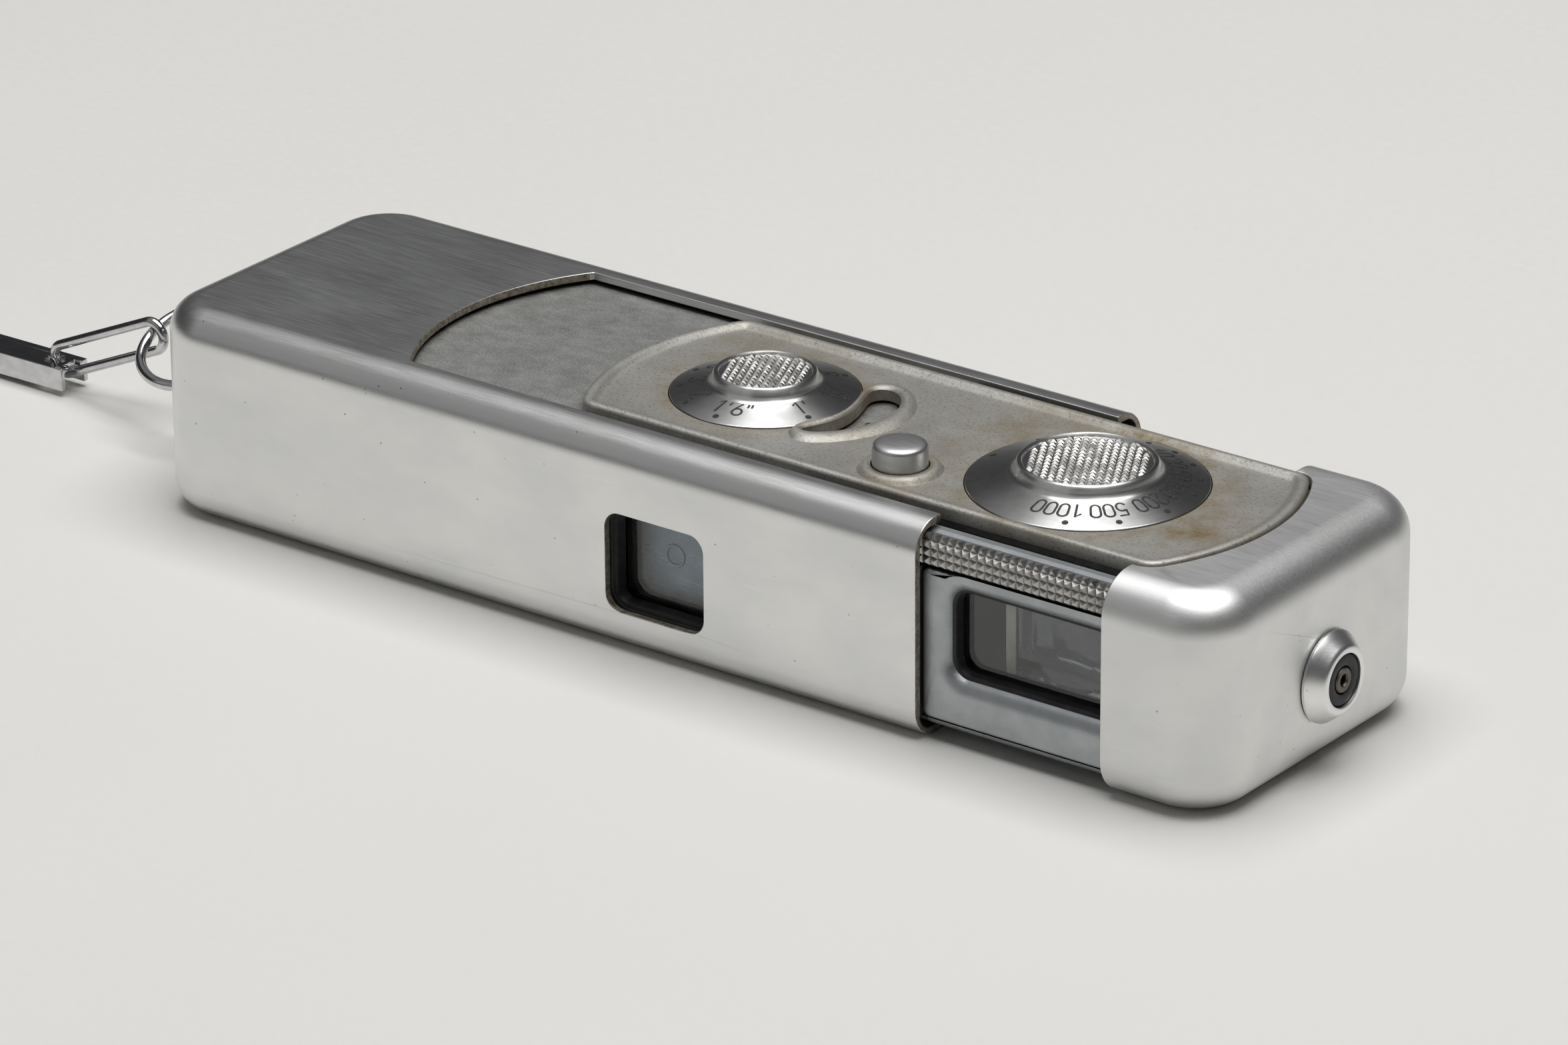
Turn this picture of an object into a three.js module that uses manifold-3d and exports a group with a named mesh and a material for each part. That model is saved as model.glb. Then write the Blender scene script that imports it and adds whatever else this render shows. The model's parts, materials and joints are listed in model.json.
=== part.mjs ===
// Subminiature camera with a telescoping sleeve, drawn open and ready to shoot.
// Units are millimetres. X runs along the body, the lens looks along -Y and +Z is up.
// The origin lies on the underside of the sleeve, half way along the open camera.
import * as THREE from 'three';
import { mergeVertices } from 'three/addons/utils/BufferGeometryUtils.js';
import Module from 'manifold-3d';

const wasm = await Module();
wasm.setup();

// ---------------------------------------------------------------- driving sizes
const OPEN_LENGTH = 95.8;
const WIDTH = 27.4;
const HEIGHT = 16.4;
const TRAVEL = 15.3;
const SLEEVE_WALL = 0.6;
const CAP_WALL = 0.8;
const SLEEVE_EDGE_RADIUS = 2.4;
const CAP_EDGE_RADIUS = 3.0;
const PLAN_CORNER_RADIUS = 5.0;
const RUNNING_GAP = 0.3;
const SEAT_GAP = 0.05;

const LEFT = -OPEN_LENGTH / 2;
const RIGHT = OPEN_LENGTH / 2;
const HALF_WIDTH = WIDTH / 2;
const SLEEVE_MOUTH = 22.8;
const CAP_MOUTH = SLEEVE_MOUTH + TRAVEL + RUNNING_GAP;

// the inner body that the sleeve runs over
const BODY_HALF = HALF_WIDTH - SLEEVE_WALL - RUNNING_GAP;
const BODY_BOTTOM = SLEEVE_WALL + RUNNING_GAP;
const BODY_TOP = HEIGHT - SLEEVE_WALL - RUNNING_GAP;
const BODY_EDGE_RADIUS = SLEEVE_EDGE_RADIUS - SLEEVE_WALL - RUNNING_GAP;
const BODY_LEFT = LEFT + SLEEVE_WALL + TRAVEL + 0.8;
const BODY_RIGHT = RIGHT - CAP_WALL - 2.0;
const BODY_WALL = 0.9;
const PLATE = 0.6;

// arcs in plan: where each is centred, its radius and the half width that it spans
const SLOT = { left: -9.4, radius: 18.6, half: 10.7 };
const PANEL = { left: 5.8, leftRadius: 18.25, right: 25.3, rightRadius: 17.4, half: 9.8 };
const PANEL_SEAT = BODY_TOP + SEAT_GAP;
const PANEL_FIELD = PANEL_SEAT + 0.7;
const PANEL_BEAD = PANEL_FIELD + 0.35;
const BEAD_WIDTH = 1.1;

const FOCUS = { x: -0.5, y: 0, rim: 6.9, knob: 3.75 };
const SPEED = { x: 27.7, y: 0, rim: 8.6, knob: 5.3 };
const DIAL_RIM = PANEL_FIELD + 0.1;
const BUTTON = { x: 15.7, y: -5.75, radius: 2.0, top: 18.3, travel: 1.0 };
const COUNTER_DISC_RADIUS = 9.5;

const LENS = { x: -0.5, z: 7.0, radius: 3.9 };
const LENS_WINDOW = { x: -0.15, z: 6.95, width: 8.8, height: 7.6, radius: 1.3 };
const FILM_GATE_Y = 5.2;
const FINDER = { left: 25.1, right: 38.9, low: 5.4, high: 11.7, radius: 1.2 };
const SPOOL_TAKE = { x: -19.0, y: 6.2 };
const SPOOL_FEED = { x: 17.5, y: 6.2 };
const CHAMBER_RADIUS = 4.6;
const CHAMBER_LOW = 2.3;
const CHAMBER_HIGH = 11.8;

const GEAR_MODULE = 0.5;
const PINION_TEETH = 10;
const DRIVE_TEETH = 14;
const PINION = { x: -13.75, y: 9.1 };
const GEAR_LOW = 12.4;
const GEAR_HIGH = 13.7;

const SOCKET = { y: 0, z: 6.9, base: 3.35, face: 2.35, length: 1.5 };
const STUD = { z: 7.0, eye: LEFT - 2.3 };

// ---------------------------------------------------------------- finishes
const FINISHES = {
  satin: [0xc3c3be, 0.38, 0.95],
  plate: [0x8f8f8a, 0.5, 0.9],
  panel: [0xb9b8b0, 0.55, 0.75],
  bright: [0xd8d8d6, 0.16, 1.0],
  casting: [0x7d8184, 0.48, 0.85],
  steel: [0xa8aaab, 0.3, 1.0],
  dark: [0x2a2b2d, 0.6, 0.3],
  brass: [0xb08d4a, 0.35, 1.0],
  glass: [0xdfe6e8, 0.05, 0.0],
  green: [0x4f8f3a, 0.1, 0.0],
  film: [0x3a3028, 0.35, 0.0],
};

const object = new THREE.Group();

function add(name, geometry, finish) {
  const [color, roughness, metalness] = FINISHES[finish];
  const material = new THREE.MeshStandardMaterial({ color, roughness, metalness });
  const mesh = new THREE.Mesh(geometry, material);
  mesh.name = name;
  object.add(mesh);
  return mesh;
}

// ---------------------------------------------------------------- solids
function toSolid(geometry) {
  const plain = geometry.index ? geometry.toNonIndexed() : geometry.clone();
  plain.deleteAttribute('normal');
  plain.deleteAttribute('uv');
  const merged = mergeVertices(plain, 1e-4);
  const vertProperties = new Float32Array(merged.attributes.position.array);
  const triVerts = new Uint32Array(merged.index.array);
  return new wasm.Manifold(new wasm.Mesh({ numProp: 3, vertProperties, triVerts }));
}

function toGeometry(solid) {
  const mesh = solid.getMesh();
  const geometry = new THREE.BufferGeometry();
  geometry.setAttribute('position', new THREE.BufferAttribute(new Float32Array(mesh.vertProperties), 3));
  geometry.setIndex(new THREE.BufferAttribute(new Uint32Array(mesh.triVerts), 1));
  geometry.computeVertexNormals();
  return geometry;
}

function cut(geometry, ...tools) {
  let solid = toSolid(geometry);
  for (const tool of tools) solid = solid.subtract(toSolid(tool));
  return toGeometry(solid);
}

function join(geometry, ...others) {
  let solid = toSolid(geometry);
  for (const other of others) solid = solid.add(toSolid(other));
  return toGeometry(solid);
}

function common(geometry, other) {
  return toGeometry(toSolid(geometry).intersect(toSolid(other)));
}

function block(x0, x1, y0, y1, z0, z1) {
  const box = new THREE.BoxGeometry(x1 - x0, y1 - y0, z1 - z0);
  return box.translate((x0 + x1) / 2, (y0 + y1) / 2, (z0 + z1) / 2);
}

// upright cylinder on the Z axis
function post(x, y, radius, z0, z1, segments = 20) {
  const rod = new THREE.CylinderGeometry(radius, radius, z1 - z0, segments);
  return rod.rotateX(Math.PI / 2).translate(x, y, (z0 + z1) / 2);
}

// cylinder along Y, such as a lens or its barrel
function rodY(x, z, radius, y0, y1, segments = 24) {
  const rod = new THREE.CylinderGeometry(radius, radius, y1 - y0, segments);
  return rod.translate(x, (y0 + y1) / 2, z);
}

// cylinder along X, such as the flash socket
function rodX(y, z, radius, x0, x1, segments = 24) {
  const rod = new THREE.CylinderGeometry(radius, radius, x1 - x0, segments);
  return rod.rotateZ(Math.PI / 2).translate((x0 + x1) / 2, y, z);
}

function roundedRectangle(x0, x1, y0, y1, r) {
  const shape = new THREE.Shape();
  shape.moveTo(x0 + r, y0);
  shape.lineTo(x1 - r, y0);
  shape.absarc(x1 - r, y0 + r, r, -Math.PI / 2, 0);
  shape.lineTo(x1, y1 - r);
  shape.absarc(x1 - r, y1 - r, r, 0, Math.PI / 2);
  shape.lineTo(x0 + r, y1);
  shape.absarc(x0 + r, y1 - r, r, Math.PI / 2, Math.PI);
  shape.lineTo(x0, y0 + r);
  shape.absarc(x0 + r, y0 + r, r, Math.PI, Math.PI * 1.5);
  return shape;
}

function prism(shape, z0, z1, curveSegments = 6) {
  const options = { depth: z1 - z0, bevelEnabled: false, curveSegments };
  return new THREE.ExtrudeGeometry(shape, options).translate(0, 0, z0);
}

// prism of a shape drawn in X and Z, pushed along Y
function prismY(shape, y0, y1, curveSegments = 4) {
  return prism(shape, -y1, -y0, curveSegments).rotateX(Math.PI / 2);
}

// prism of a shape drawn in Y and Z, pushed along X
function prismX(shape, x0, x1, curveSegments = 4) {
  const geometry = prism(shape, x0, x1, curveSegments);
  return geometry.rotateX(Math.PI / 2).rotateZ(Math.PI / 2);
}

// rounded block: plan corners of one radius, and one fillet on every top and bottom edge
function slab(x0, x1, half, z0, z1, corner, edge) {
  const plan = roundedRectangle(x0 + edge, x1 - edge, -half + edge, half - edge, corner - edge);
  const options = {
    depth: z1 - z0 - 2 * edge,
    bevelThickness: edge,
    bevelSize: edge,
    bevelSegments: 4,
    curveSegments: 5,
  };
  return new THREE.ExtrudeGeometry(plan, options).translate(0, 0, z0 + edge);
}

function turned(profile, segments = 24) {
  const points = profile.map(([r, z]) => new THREE.Vector2(r, z));
  return new THREE.LatheGeometry(points, segments).rotateX(Math.PI / 2);
}

// round wire along an open curve
function wire(curve, radius, steps, sides) {
  const section = new THREE.Shape();
  section.absarc(0, 0, radius, 0, Math.PI * 2);
  const options = { steps, extrudePath: curve, curveSegments: sides / 2, bevelEnabled: false };
  return new THREE.ExtrudeGeometry(section, options);
}

// ---------------------------------------------------------------- sleeve
function slotPlan(x1) {
  const reach = Math.asin(SLOT.half / SLOT.radius);
  const shape = new THREE.Shape();
  shape.moveTo(x1, -SLOT.half);
  shape.lineTo(x1, SLOT.half);
  shape.absarc(SLOT.left, 0, SLOT.radius, Math.PI - reach, Math.PI + reach);
  return shape;
}

function windowPlan({ x, z, width, height, radius }, grow = 0) {
  const w = width / 2 + grow;
  const h = height / 2 + grow;
  return roundedRectangle(x - w, x + w, z - h, z + h, radius + grow);
}

function sleeveShell() {
  const outer = slab(
    LEFT,
    SLEEVE_MOUTH + 12,
    HALF_WIDTH,
    0,
    HEIGHT,
    PLAN_CORNER_RADIUS,
    SLEEVE_EDGE_RADIUS,
  );
  const inner = slab(
    LEFT + SLEEVE_WALL,
    SLEEVE_MOUTH + 14,
    HALF_WIDTH - SLEEVE_WALL,
    SLEEVE_WALL,
    HEIGHT - SLEEVE_WALL,
    PLAN_CORNER_RADIUS - SLEEVE_WALL,
    SLEEVE_EDGE_RADIUS - SLEEVE_WALL,
  );
  const beyondMouth = block(SLEEVE_MOUTH, SLEEVE_MOUTH + 20, -20, 20, -5, 25);
  const slot = prism(slotPlan(SLEEVE_MOUTH + 5), HEIGHT / 2, HEIGHT + 4, 9);
  const window = prismY(windowPlan(LENS_WINDOW), -HALF_WIDTH - 2, -HALF_WIDTH + 3);
  const studHole = rodX(0, STUD.z, 0.85, LEFT - 1, LEFT + 3);
  return cut(outer, inner, beyondMouth, slot, window, studHole);
}

// straight rack on the sleeve that turns the advance pinion as the sleeve travels
function advanceRack() {
  const pitch = Math.PI * GEAR_MODULE;
  const pitchLine = PINION.y + (GEAR_MODULE * PINION_TEETH) / 2;
  const root = pitchLine + 0.6;
  const back = HALF_WIDTH - SLEEVE_WALL - SEAT_GAP;
  const teeth = Math.ceil(TRAVEL / pitch) + 3;
  const shape = new THREE.Shape();
  const first = PINION.x + pitch * 1.5;
  shape.moveTo(first + pitch / 2, root);
  for (let i = 0; i < teeth; i += 1) {
    const centre = first - i * pitch;
    shape.lineTo(centre + pitch * 0.3, root);
    shape.lineTo(centre + pitch * 0.1, pitchLine - 0.4);
    shape.lineTo(centre - pitch * 0.1, pitchLine - 0.4);
    shape.lineTo(centre - pitch * 0.3, root);
  }
  const last = first - (teeth - 0.5) * pitch;
  shape.lineTo(last, root);
  shape.lineTo(last, back);
  shape.lineTo(first + pitch / 2, back);
  return prism(shape, GEAR_LOW + 0.1, GEAR_HIGH - 0.1);
}

add('sleeve_shell', sleeveShell(), 'satin');
add('advance_rack', advanceRack(), 'brass');

// ---------------------------------------------------------------- wrist chain
function chainStud() {
  const shank = rodX(0, STUD.z, 0.75, LEFT - 1.2, LEFT + 1.0, 20);
  const collar = rodX(0, STUD.z, 1.5, LEFT - 0.45, LEFT - 0.05, 24);
  const tab = rodY(STUD.eye, STUD.z, 1.9, -0.45, 0.45, 24);
  const neck = block(STUD.eye, LEFT - 0.3, -0.45, 0.45, STUD.z - 0.7, STUD.z + 0.7);
  const eye = rodY(STUD.eye, STUD.z, 1.15, -2, 2, 20);
  return cut(join(shank, collar, tab, neck), eye);
}

const RING = { radius: 4.5, wire: 0.42, roll: 0.42, droop: 0.02 };
const LINK = { length: 12.2, height: 3.1, wire: 0.4, tilt: 0.42, lift: 0.2 };
const BAR = { length: 14.0, width: 3.0, thickness: 1.8, wall: 0.4, tilt: 0.01, holeFromEnd: 1.9 };

// where the far side of the ring holds the wire link, and where the link holds the bar
const RING_FAR = {
  x: STUD.eye - 2 * RING.radius * Math.cos(RING.droop),
  z: STUD.z - 2 * RING.radius * Math.sin(RING.droop),
};
const LINK_NEAR = { x: RING_FAR.x + RING.wire + LINK.wire + 0.2, z: RING_FAR.z + LINK.lift };
const LINK_FAR = {
  x: LINK_NEAR.x - LINK.length * Math.cos(LINK.tilt),
  z: LINK_NEAR.z - LINK.length * Math.sin(LINK.tilt),
};

function chainRing() {
  const ring = new THREE.TorusGeometry(RING.radius, RING.wire, 8, 24);
  ring.rotateX(RING.roll).translate(-RING.radius, 0, 0);
  return ring.rotateY(-RING.droop).translate(STUD.eye, 0, STUD.z);
}

// outline of a long oval lying flat, with one bend at the origin and the other along -X
function ovalOutline(half, length) {
  const points = [];
  const bend = 7;
  for (const [centre, start] of [[half - length, Math.PI / 2], [-half, Math.PI * 1.5]]) {
    for (let i = 0; i <= bend; i += 1) {
      const t = start + (Math.PI * i) / bend;
      points.push(new THREE.Vector3(centre + half * Math.cos(t), half * Math.sin(t), 0));
    }
  }
  return points;
}

// closed wire loop through flat points, built as a ring of round sections
function closedWire(points, radius, sides = 8) {
  const positions = [];
  const index = [];
  const n = points.length;
  const up = new THREE.Vector3(0, 0, 1);
  for (let i = 0; i < n; i += 1) {
    const before = points[(i + n - 1) % n];
    const after = points[(i + 1) % n];
    const tangent = after.clone().sub(before).normalize();
    const side = tangent.clone().cross(up).normalize();
    for (let k = 0; k < sides; k += 1) {
      const t = (2 * Math.PI * k) / sides;
      const p = points[i].clone();
      p.addScaledVector(side, radius * Math.cos(t));
      p.addScaledVector(up, radius * Math.sin(t));
      positions.push(p.x, p.y, p.z);
    }
  }
  for (let i = 0; i < n; i += 1) {
    for (let k = 0; k < sides; k += 1) {
      const a = i * sides + k;
      const b = i * sides + ((k + 1) % sides);
      const c = ((i + 1) % n) * sides + k;
      const d = ((i + 1) % n) * sides + ((k + 1) % sides);
      index.push(a, d, b, a, c, d);
    }
  }
  const geometry = new THREE.BufferGeometry();
  geometry.setAttribute('position', new THREE.Float32BufferAttribute(positions, 3));
  geometry.setIndex(index);
  geometry.computeVertexNormals();
  return geometry;
}

function chainWireLink() {
  const outline = ovalOutline(LINK.height / 2 - LINK.wire, LINK.length);
  const loop = closedWire(outline, LINK.wire).rotateX(Math.PI / 2);
  return loop.rotateY(-LINK.tilt).translate(LINK_NEAR.x, 0, LINK_NEAR.z);
}

// bar link folded from strip into a channel, open below, with a hole and a notch at each end
function chainBarLink() {
  const { length, width, thickness, wall, holeFromEnd } = BAR;
  const outer = block(-length, 0, -width / 2, width / 2, -thickness, 0);
  const hollow = block(-length - 1, 1, -width / 2 + wall, width / 2 - wall, -thickness - 1, -wall);
  const openings = [holeFromEnd, length - holeFromEnd].map((x) => post(-x, 0, 0.75, -1, 1, 16));
  const notches = [0, -length].map((x) => block(x - 0.6, x + 0.6, -0.7, 0.7, -1, 1));
  const bar = cut(outer, hollow, ...openings, ...notches).translate(holeFromEnd, 0, wall / 2);
  return bar.rotateY(-BAR.tilt).translate(LINK_FAR.x, 0, LINK_FAR.z);
}

add('chain_stud', chainStud(), 'bright');
add('chain_ring', chainRing(), 'bright');
add('chain_wire_link', chainWireLink(), 'bright');
add('chain_bar_link', chainBarLink(), 'bright');

// ---------------------------------------------------------------- inner body
function bodyEnvelope(inset, z0, z1) {
  return slab(
    BODY_LEFT + inset,
    BODY_RIGHT - inset,
    BODY_HALF - inset,
    z0,
    z1,
    PLAN_CORNER_RADIUS - SLEEVE_WALL - RUNNING_GAP - inset,
    Math.max(BODY_EDGE_RADIUS - inset, 0.5),
  );
}

const DOOR_TOP = BODY_BOTTOM + 0.8;
const FILTER_LOW = 13.2;
const FILTER_HIGH = BODY_TOP - 0.05;

const LEDGE = { inner: 10.75, outer: 11.75, low: FILTER_LOW + 0.65 };
const EYE_TOP = BODY_TOP - 1.5;
const RACK_TRACK_END = PINION.x + TRAVEL + 3.9;

function chassis() {
  const outer = bodyEnvelope(0, BODY_BOTTOM, BODY_TOP);
  const hollow = bodyEnvelope(BODY_WALL, -5, 30);
  const shell = cut(outer, hollow);
  const [x0, x1] = [BODY_LEFT + 3, BODY_RIGHT - 3];
  const frontLedge = block(x0, x1, -LEDGE.outer - 0.5, -LEDGE.inner, LEDGE.low, BODY_TOP);
  const rearLedge = block(x0, x1, LEDGE.inner, LEDGE.outer + 0.5, EYE_TOP, BODY_TOP);
  const belowDoor = block(-60, 60, -20, 20, -5, DOOR_TOP + SEAT_GAP);
  const underTopPlate = block(-60, 60, -10.7, 10.7, 13.5, 30);
  const lensOpening = prismY(windowPlan(LENS_WINDOW), -BODY_HALF - 1, -BODY_HALF + 2);
  const finderMouth = block(22.55, 40.6, -20, -10, 0, FILTER_LOW - 0.15);
  const eyeMouth = block(22.55, 40.6, 10, 20, 0, EYE_TOP);
  const filterTrack = block(5.6, 60, -20, -LEDGE.outer, FILTER_LOW - 0.15, 30);
  const rackTrack = block(-60, RACK_TRACK_END, 10.7, 20, GEAR_LOW - 0.15, GEAR_HIGH + 0.15);
  return cut(
    common(join(shell, frontLedge, rearLedge), outer),
    belowDoor, underTopPlate, lensOpening, finderMouth, eyeMouth, filterTrack, rackTrack,
  );
}

// plate that closes the body on top; the slot in the sleeve shows its left half
function topPlate() {
  const wide = block(BODY_LEFT + 0.2, 10, -10.6, 10.6, BODY_TOP - PLATE, BODY_TOP);
  const narrow = block(-8, 40.5, -9.5, 9.5, BODY_TOP - PLATE, BODY_TOP);
  const plan = slab(BODY_LEFT, 60, BODY_HALF, 0, 30, 4.1, 1);
  const counterWell = post(FOCUS.x, FOCUS.y, COUNTER_DISC_RADIUS + 0.3, 10, 20, 36);
  const speedHole = post(SPEED.x, SPEED.y, 2.3, 10, 20);
  const buttonHole = post(BUTTON.x, BUTTON.y, BUTTON.radius + 0.2, 10, 20);
  return cut(common(join(wide, narrow), plan), counterWell, speedHole, buttonHole);
}

// underside of the inner body, folded up a little way along both long edges
function bottomSection() {
  const r = BODY_EDGE_RADIUS;
  const cutOff = Math.asin((BODY_BOTTOM + r - DOOR_TOP) / r);
  const shape = new THREE.Shape();
  shape.absarc(-BODY_HALF + r, BODY_BOTTOM + r, r, Math.PI + cutOff, Math.PI * 1.5);
  shape.absarc(BODY_HALF - r, BODY_BOTTOM + r, r, Math.PI * 1.5, Math.PI * 2 - cutOff);
  return shape;
}

const DOOR_SPLIT = 23.0;
const SCREWS = [
  { name: 'bottom_screw_front', x: 34.5, y: -9.5 },
  { name: 'bottom_screw_rear', x: 34.5, y: 9.5 },
];

function filmDoor() {
  const plate = prismX(bottomSection(), BODY_LEFT, DOOR_SPLIT - 0.15);
  const ends = slab(BODY_LEFT + 0.1, 60, BODY_HALF - 0.02, BODY_BOTTOM, 30, 4.1, BODY_EDGE_RADIUS);
  const thumbGrip = [2.0, 3.2, 4.4, 5.6].map((x) => block(x, x + 0.6, -4, 4, 0, BODY_BOTTOM + 0.25));
  return cut(common(plate, ends), ...thumbGrip);
}

function bottomCover() {
  const plate = prismX(bottomSection(), DOOR_SPLIT, 44.5);
  const ends = slab(-60, BODY_RIGHT, BODY_HALF - 0.3, -10, 30, 4.1, 1);
  const mouth = block(DOOR_SPLIT, 38.6, -20, 20, -10, 30);
  const holes = SCREWS.map(({ x, y }) => post(x, y, 0.95, -1, 4, 20));
  return cut(common(plate, join(ends, mouth)), ...holes);
}

function slottedScrew(x, y) {
  const head = post(x, y, 0.85, BODY_BOTTOM + 0.05, BODY_BOTTOM + 0.6, 20);
  const shank = post(x, y, 0.5, BODY_BOTTOM + 0.3, DOOR_TOP + 1.2, 16);
  const slot = block(x - 1, x + 1, y - 0.12, y + 0.12, 0, BODY_BOTTOM + 0.3);
  return cut(join(head, shank), slot);
}

add('chassis', chassis(), 'casting');
add('top_plate', topPlate(), 'plate');
add('film_door', filmDoor(), 'casting');
add('bottom_cover', bottomCover(), 'casting');
for (const { name, x, y } of SCREWS) add(name, slottedScrew(x, y), 'steel');

// ---------------------------------------------------------------- control panel
function panelPlan(inset = 0) {
  const half = PANEL.half - inset;
  const leftRadius = PANEL.leftRadius - inset;
  const rightRadius = PANEL.rightRadius - inset;
  const leftReach = Math.asin(half / leftRadius);
  const rightReach = Math.asin(half / rightRadius);
  const shape = new THREE.Shape();
  shape.absarc(PANEL.right, 0, rightRadius, -rightReach, rightReach);
  shape.absarc(PANEL.left, 0, leftRadius, Math.PI - leftReach, Math.PI + leftReach);
  return shape;
}

// comma shaped opening over the counter: angle in degrees and radius about the focusing dial
// of its edge, then of the foot of the bead round it
const COMMA = [
  [-34.0, 7.85, -41.2, 7.9], [-31.4, 8.4, -40.2, 9.0], [-25.9, 8.85, -35.0, 9.9],
  [-17.2, 9.33, -25.0, 10.6], [-8.6, 9.62, -12.0, 11.28], [0.0, 9.86, -1.0, 11.6],
  [7.5, 10.06, 8.5, 11.62], [15.4, 10.12, 17.5, 11.4], [22.6, 10.03, 26.5, 10.98],
  [29.6, 9.7, 36.0, 10.4], [34.4, 9.15, 43.0, 9.5], [36.4, 8.4, 45.5, 8.35],
  [34.8, 7.75, 42.0, 7.35], [30.0, 7.4, 34.0, 6.85], [21.0, 7.28, 22.0, 6.7],
  [10.0, 7.32, 10.0, 6.7], [0.0, 7.44, 0.0, 6.76], [-10.0, 7.52, -10.0, 6.8],
  [-20.0, 7.5, -20.5, 6.62], [-28.0, 7.5, -30.5, 6.52], [-32.4, 7.58, -37.2, 7.0],
];

function counterPlan(spread = 0) {
  const shape = new THREE.Shape();
  COMMA.forEach(([edgeAngle, edgeRadius, footAngle, footRadius], i) => {
    const [edge, foot] = [[edgeAngle, edgeRadius], [footAngle, footRadius]].map(([angle, radius]) => {
      const t = THREE.MathUtils.degToRad(angle);
      return new THREE.Vector2(FOCUS.x + radius * Math.cos(t), FOCUS.y + radius * Math.sin(t));
    });
    const { x, y } = edge.lerp(foot, spread);
    if (i === 0) shape.moveTo(x, y);
    else shape.lineTo(x, y);
  });
  return shape;
}

function controlPanel() {
  const field = prism(panelPlan(), PANEL_SEAT, PANEL_FIELD, 12);
  const rim = cut(
    prism(panelPlan(), PANEL_SEAT + 0.2, PANEL_BEAD, 12),
    prism(panelPlan(BEAD_WIDTH), PANEL_SEAT, PANEL_BEAD + 1, 12),
  );
  const counterBead = prism(counterPlan(0.8), PANEL_SEAT + 0.2, PANEL_BEAD - 0.05);
  const collar = post(BUTTON.x, BUTTON.y, 2.9, PANEL_SEAT + 0.2, PANEL_BEAD + 0.1, 24);
  const focusWell = post(FOCUS.x, FOCUS.y, FOCUS.rim + 0.12, 10, 20, 40);
  const speedWell = post(SPEED.x, SPEED.y, SPEED.rim + 0.12, 10, 20, 44);
  const counterOpening = prism(counterPlan(0), 10, 20);
  const buttonHole = post(BUTTON.x, BUTTON.y, BUTTON.radius + 0.15, 10, 20, 24);
  return cut(
    join(field, rim, counterBead, collar),
    focusWell, speedWell, counterOpening, buttonHole,
  );
}

function counterDisc() {
  const disc = post(FOCUS.x, FOCUS.y, COUNTER_DISC_RADIUS, BODY_TOP - 0.5, BODY_TOP - 0.15, 36);
  const bore = post(FOCUS.x, FOCUS.y, 1.75, 10, 20, 24);
  return cut(disc, bore);
}

add('control_panel', controlPanel(), 'panel');
add('counter_disc', counterDisc(), 'plate');

// ---------------------------------------------------------------- dials
function dialRing({ rim, knob }, rise) {
  const low = PANEL_SEAT + 0.1;
  const top = DIAL_RIM + rise;
  return turned([
    [1.55, low],
    [rim, low],
    [rim, DIAL_RIM],
    [knob - 0.1, top],
    [1.55, top],
    [1.55, low],
  ], 36);
}

function dialKnob({ knob }, rise, flare) {
  const low = DIAL_RIM + rise + SEAT_GAP;
  const top = low + 0.95;
  return turned([
    [0, low],
    [knob, low],
    [knob - flare * 0.6, low + 0.35],
    [knob - flare, top - 0.2],
    [knob - flare - 0.15, top],
    [knob - flare - 0.45, top],
    [knob - flare - 0.55, top - 0.2],
    [0, top - 0.2],
  ], 32);
}

function dialShaft(radius, low, rise) {
  const top = DIAL_RIM + rise - 0.05;
  return turned([[0, low], [radius, low], [radius, top], [0, top]], 16);
}

const FOCUS_RISE = 0.75;
const SPEED_RISE = 0.8;
const FOCUS_CAM_LOW = 12.7;
const SPEED_CAM_LOW = 13.1;

// plate cam whose radius grows steadily around one turn
function spiralCam(small, large, low, high, bore) {
  const shape = new THREE.Shape();
  const steps = 30;
  for (let i = 0; i <= steps; i += 1) {
    const t = (2 * Math.PI * i) / steps;
    const r = small + ((large - small) * i) / steps;
    if (i === 0) shape.moveTo(r, 0);
    else shape.lineTo(r * Math.cos(t), r * Math.sin(t));
  }
  return cut(prism(shape, low, high), post(0, 0, bore, low - 1, high + 1, 20));
}

function place(geometry, { x, y }) {
  return geometry.translate(x, y, 0);
}

add('focus_dial', place(dialRing(FOCUS, FOCUS_RISE), FOCUS), 'satin');
add('focus_knob', place(dialKnob(FOCUS, FOCUS_RISE, 0.25), FOCUS), 'bright');
add('focus_shaft', place(dialShaft(1.5, FOCUS_CAM_LOW - 0.4, FOCUS_RISE), FOCUS), 'steel');
add('focus_cam', place(spiralCam(2.6, 4.4, FOCUS_CAM_LOW, FOCUS_CAM_LOW + 1, 1.55), FOCUS), 'brass');
add('speed_dial', place(dialRing(SPEED, SPEED_RISE), SPEED), 'satin');
add('speed_knob', place(dialKnob(SPEED, SPEED_RISE, 0.75), SPEED), 'bright');
add('speed_shaft', place(dialShaft(1.5, SPEED_CAM_LOW - 0.3, SPEED_RISE), SPEED), 'steel');
add('speed_cam', place(spiralCam(2.8, 4.8, SPEED_CAM_LOW, SPEED_CAM_LOW + 0.9, 1.55), SPEED), 'brass');

// ---------------------------------------------------------------- release
const FLANGE_TOP = BODY_TOP - PLATE - 0.1;
const BUTTON_FOOT = FLANGE_TOP - 0.6;
const SPRING = { low: 9.9, turns: 4, radius: 1.45, wire: 0.2 };

function releaseButton() {
  const { x, y, radius, top } = BUTTON;
  const cap = turned([
    [0, BUTTON_FOOT],
    [radius + 0.5, BUTTON_FOOT],
    [radius + 0.5, FLANGE_TOP],
    [radius, FLANGE_TOP],
    [radius, top - 0.35],
    [radius - 0.1, top - 0.15],
    [radius - 0.35, top],
    [radius * 0.5, top + 0.12],
    [0, top + 0.15],
  ], 24);
  return cap.translate(x, y, 0);
}

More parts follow.
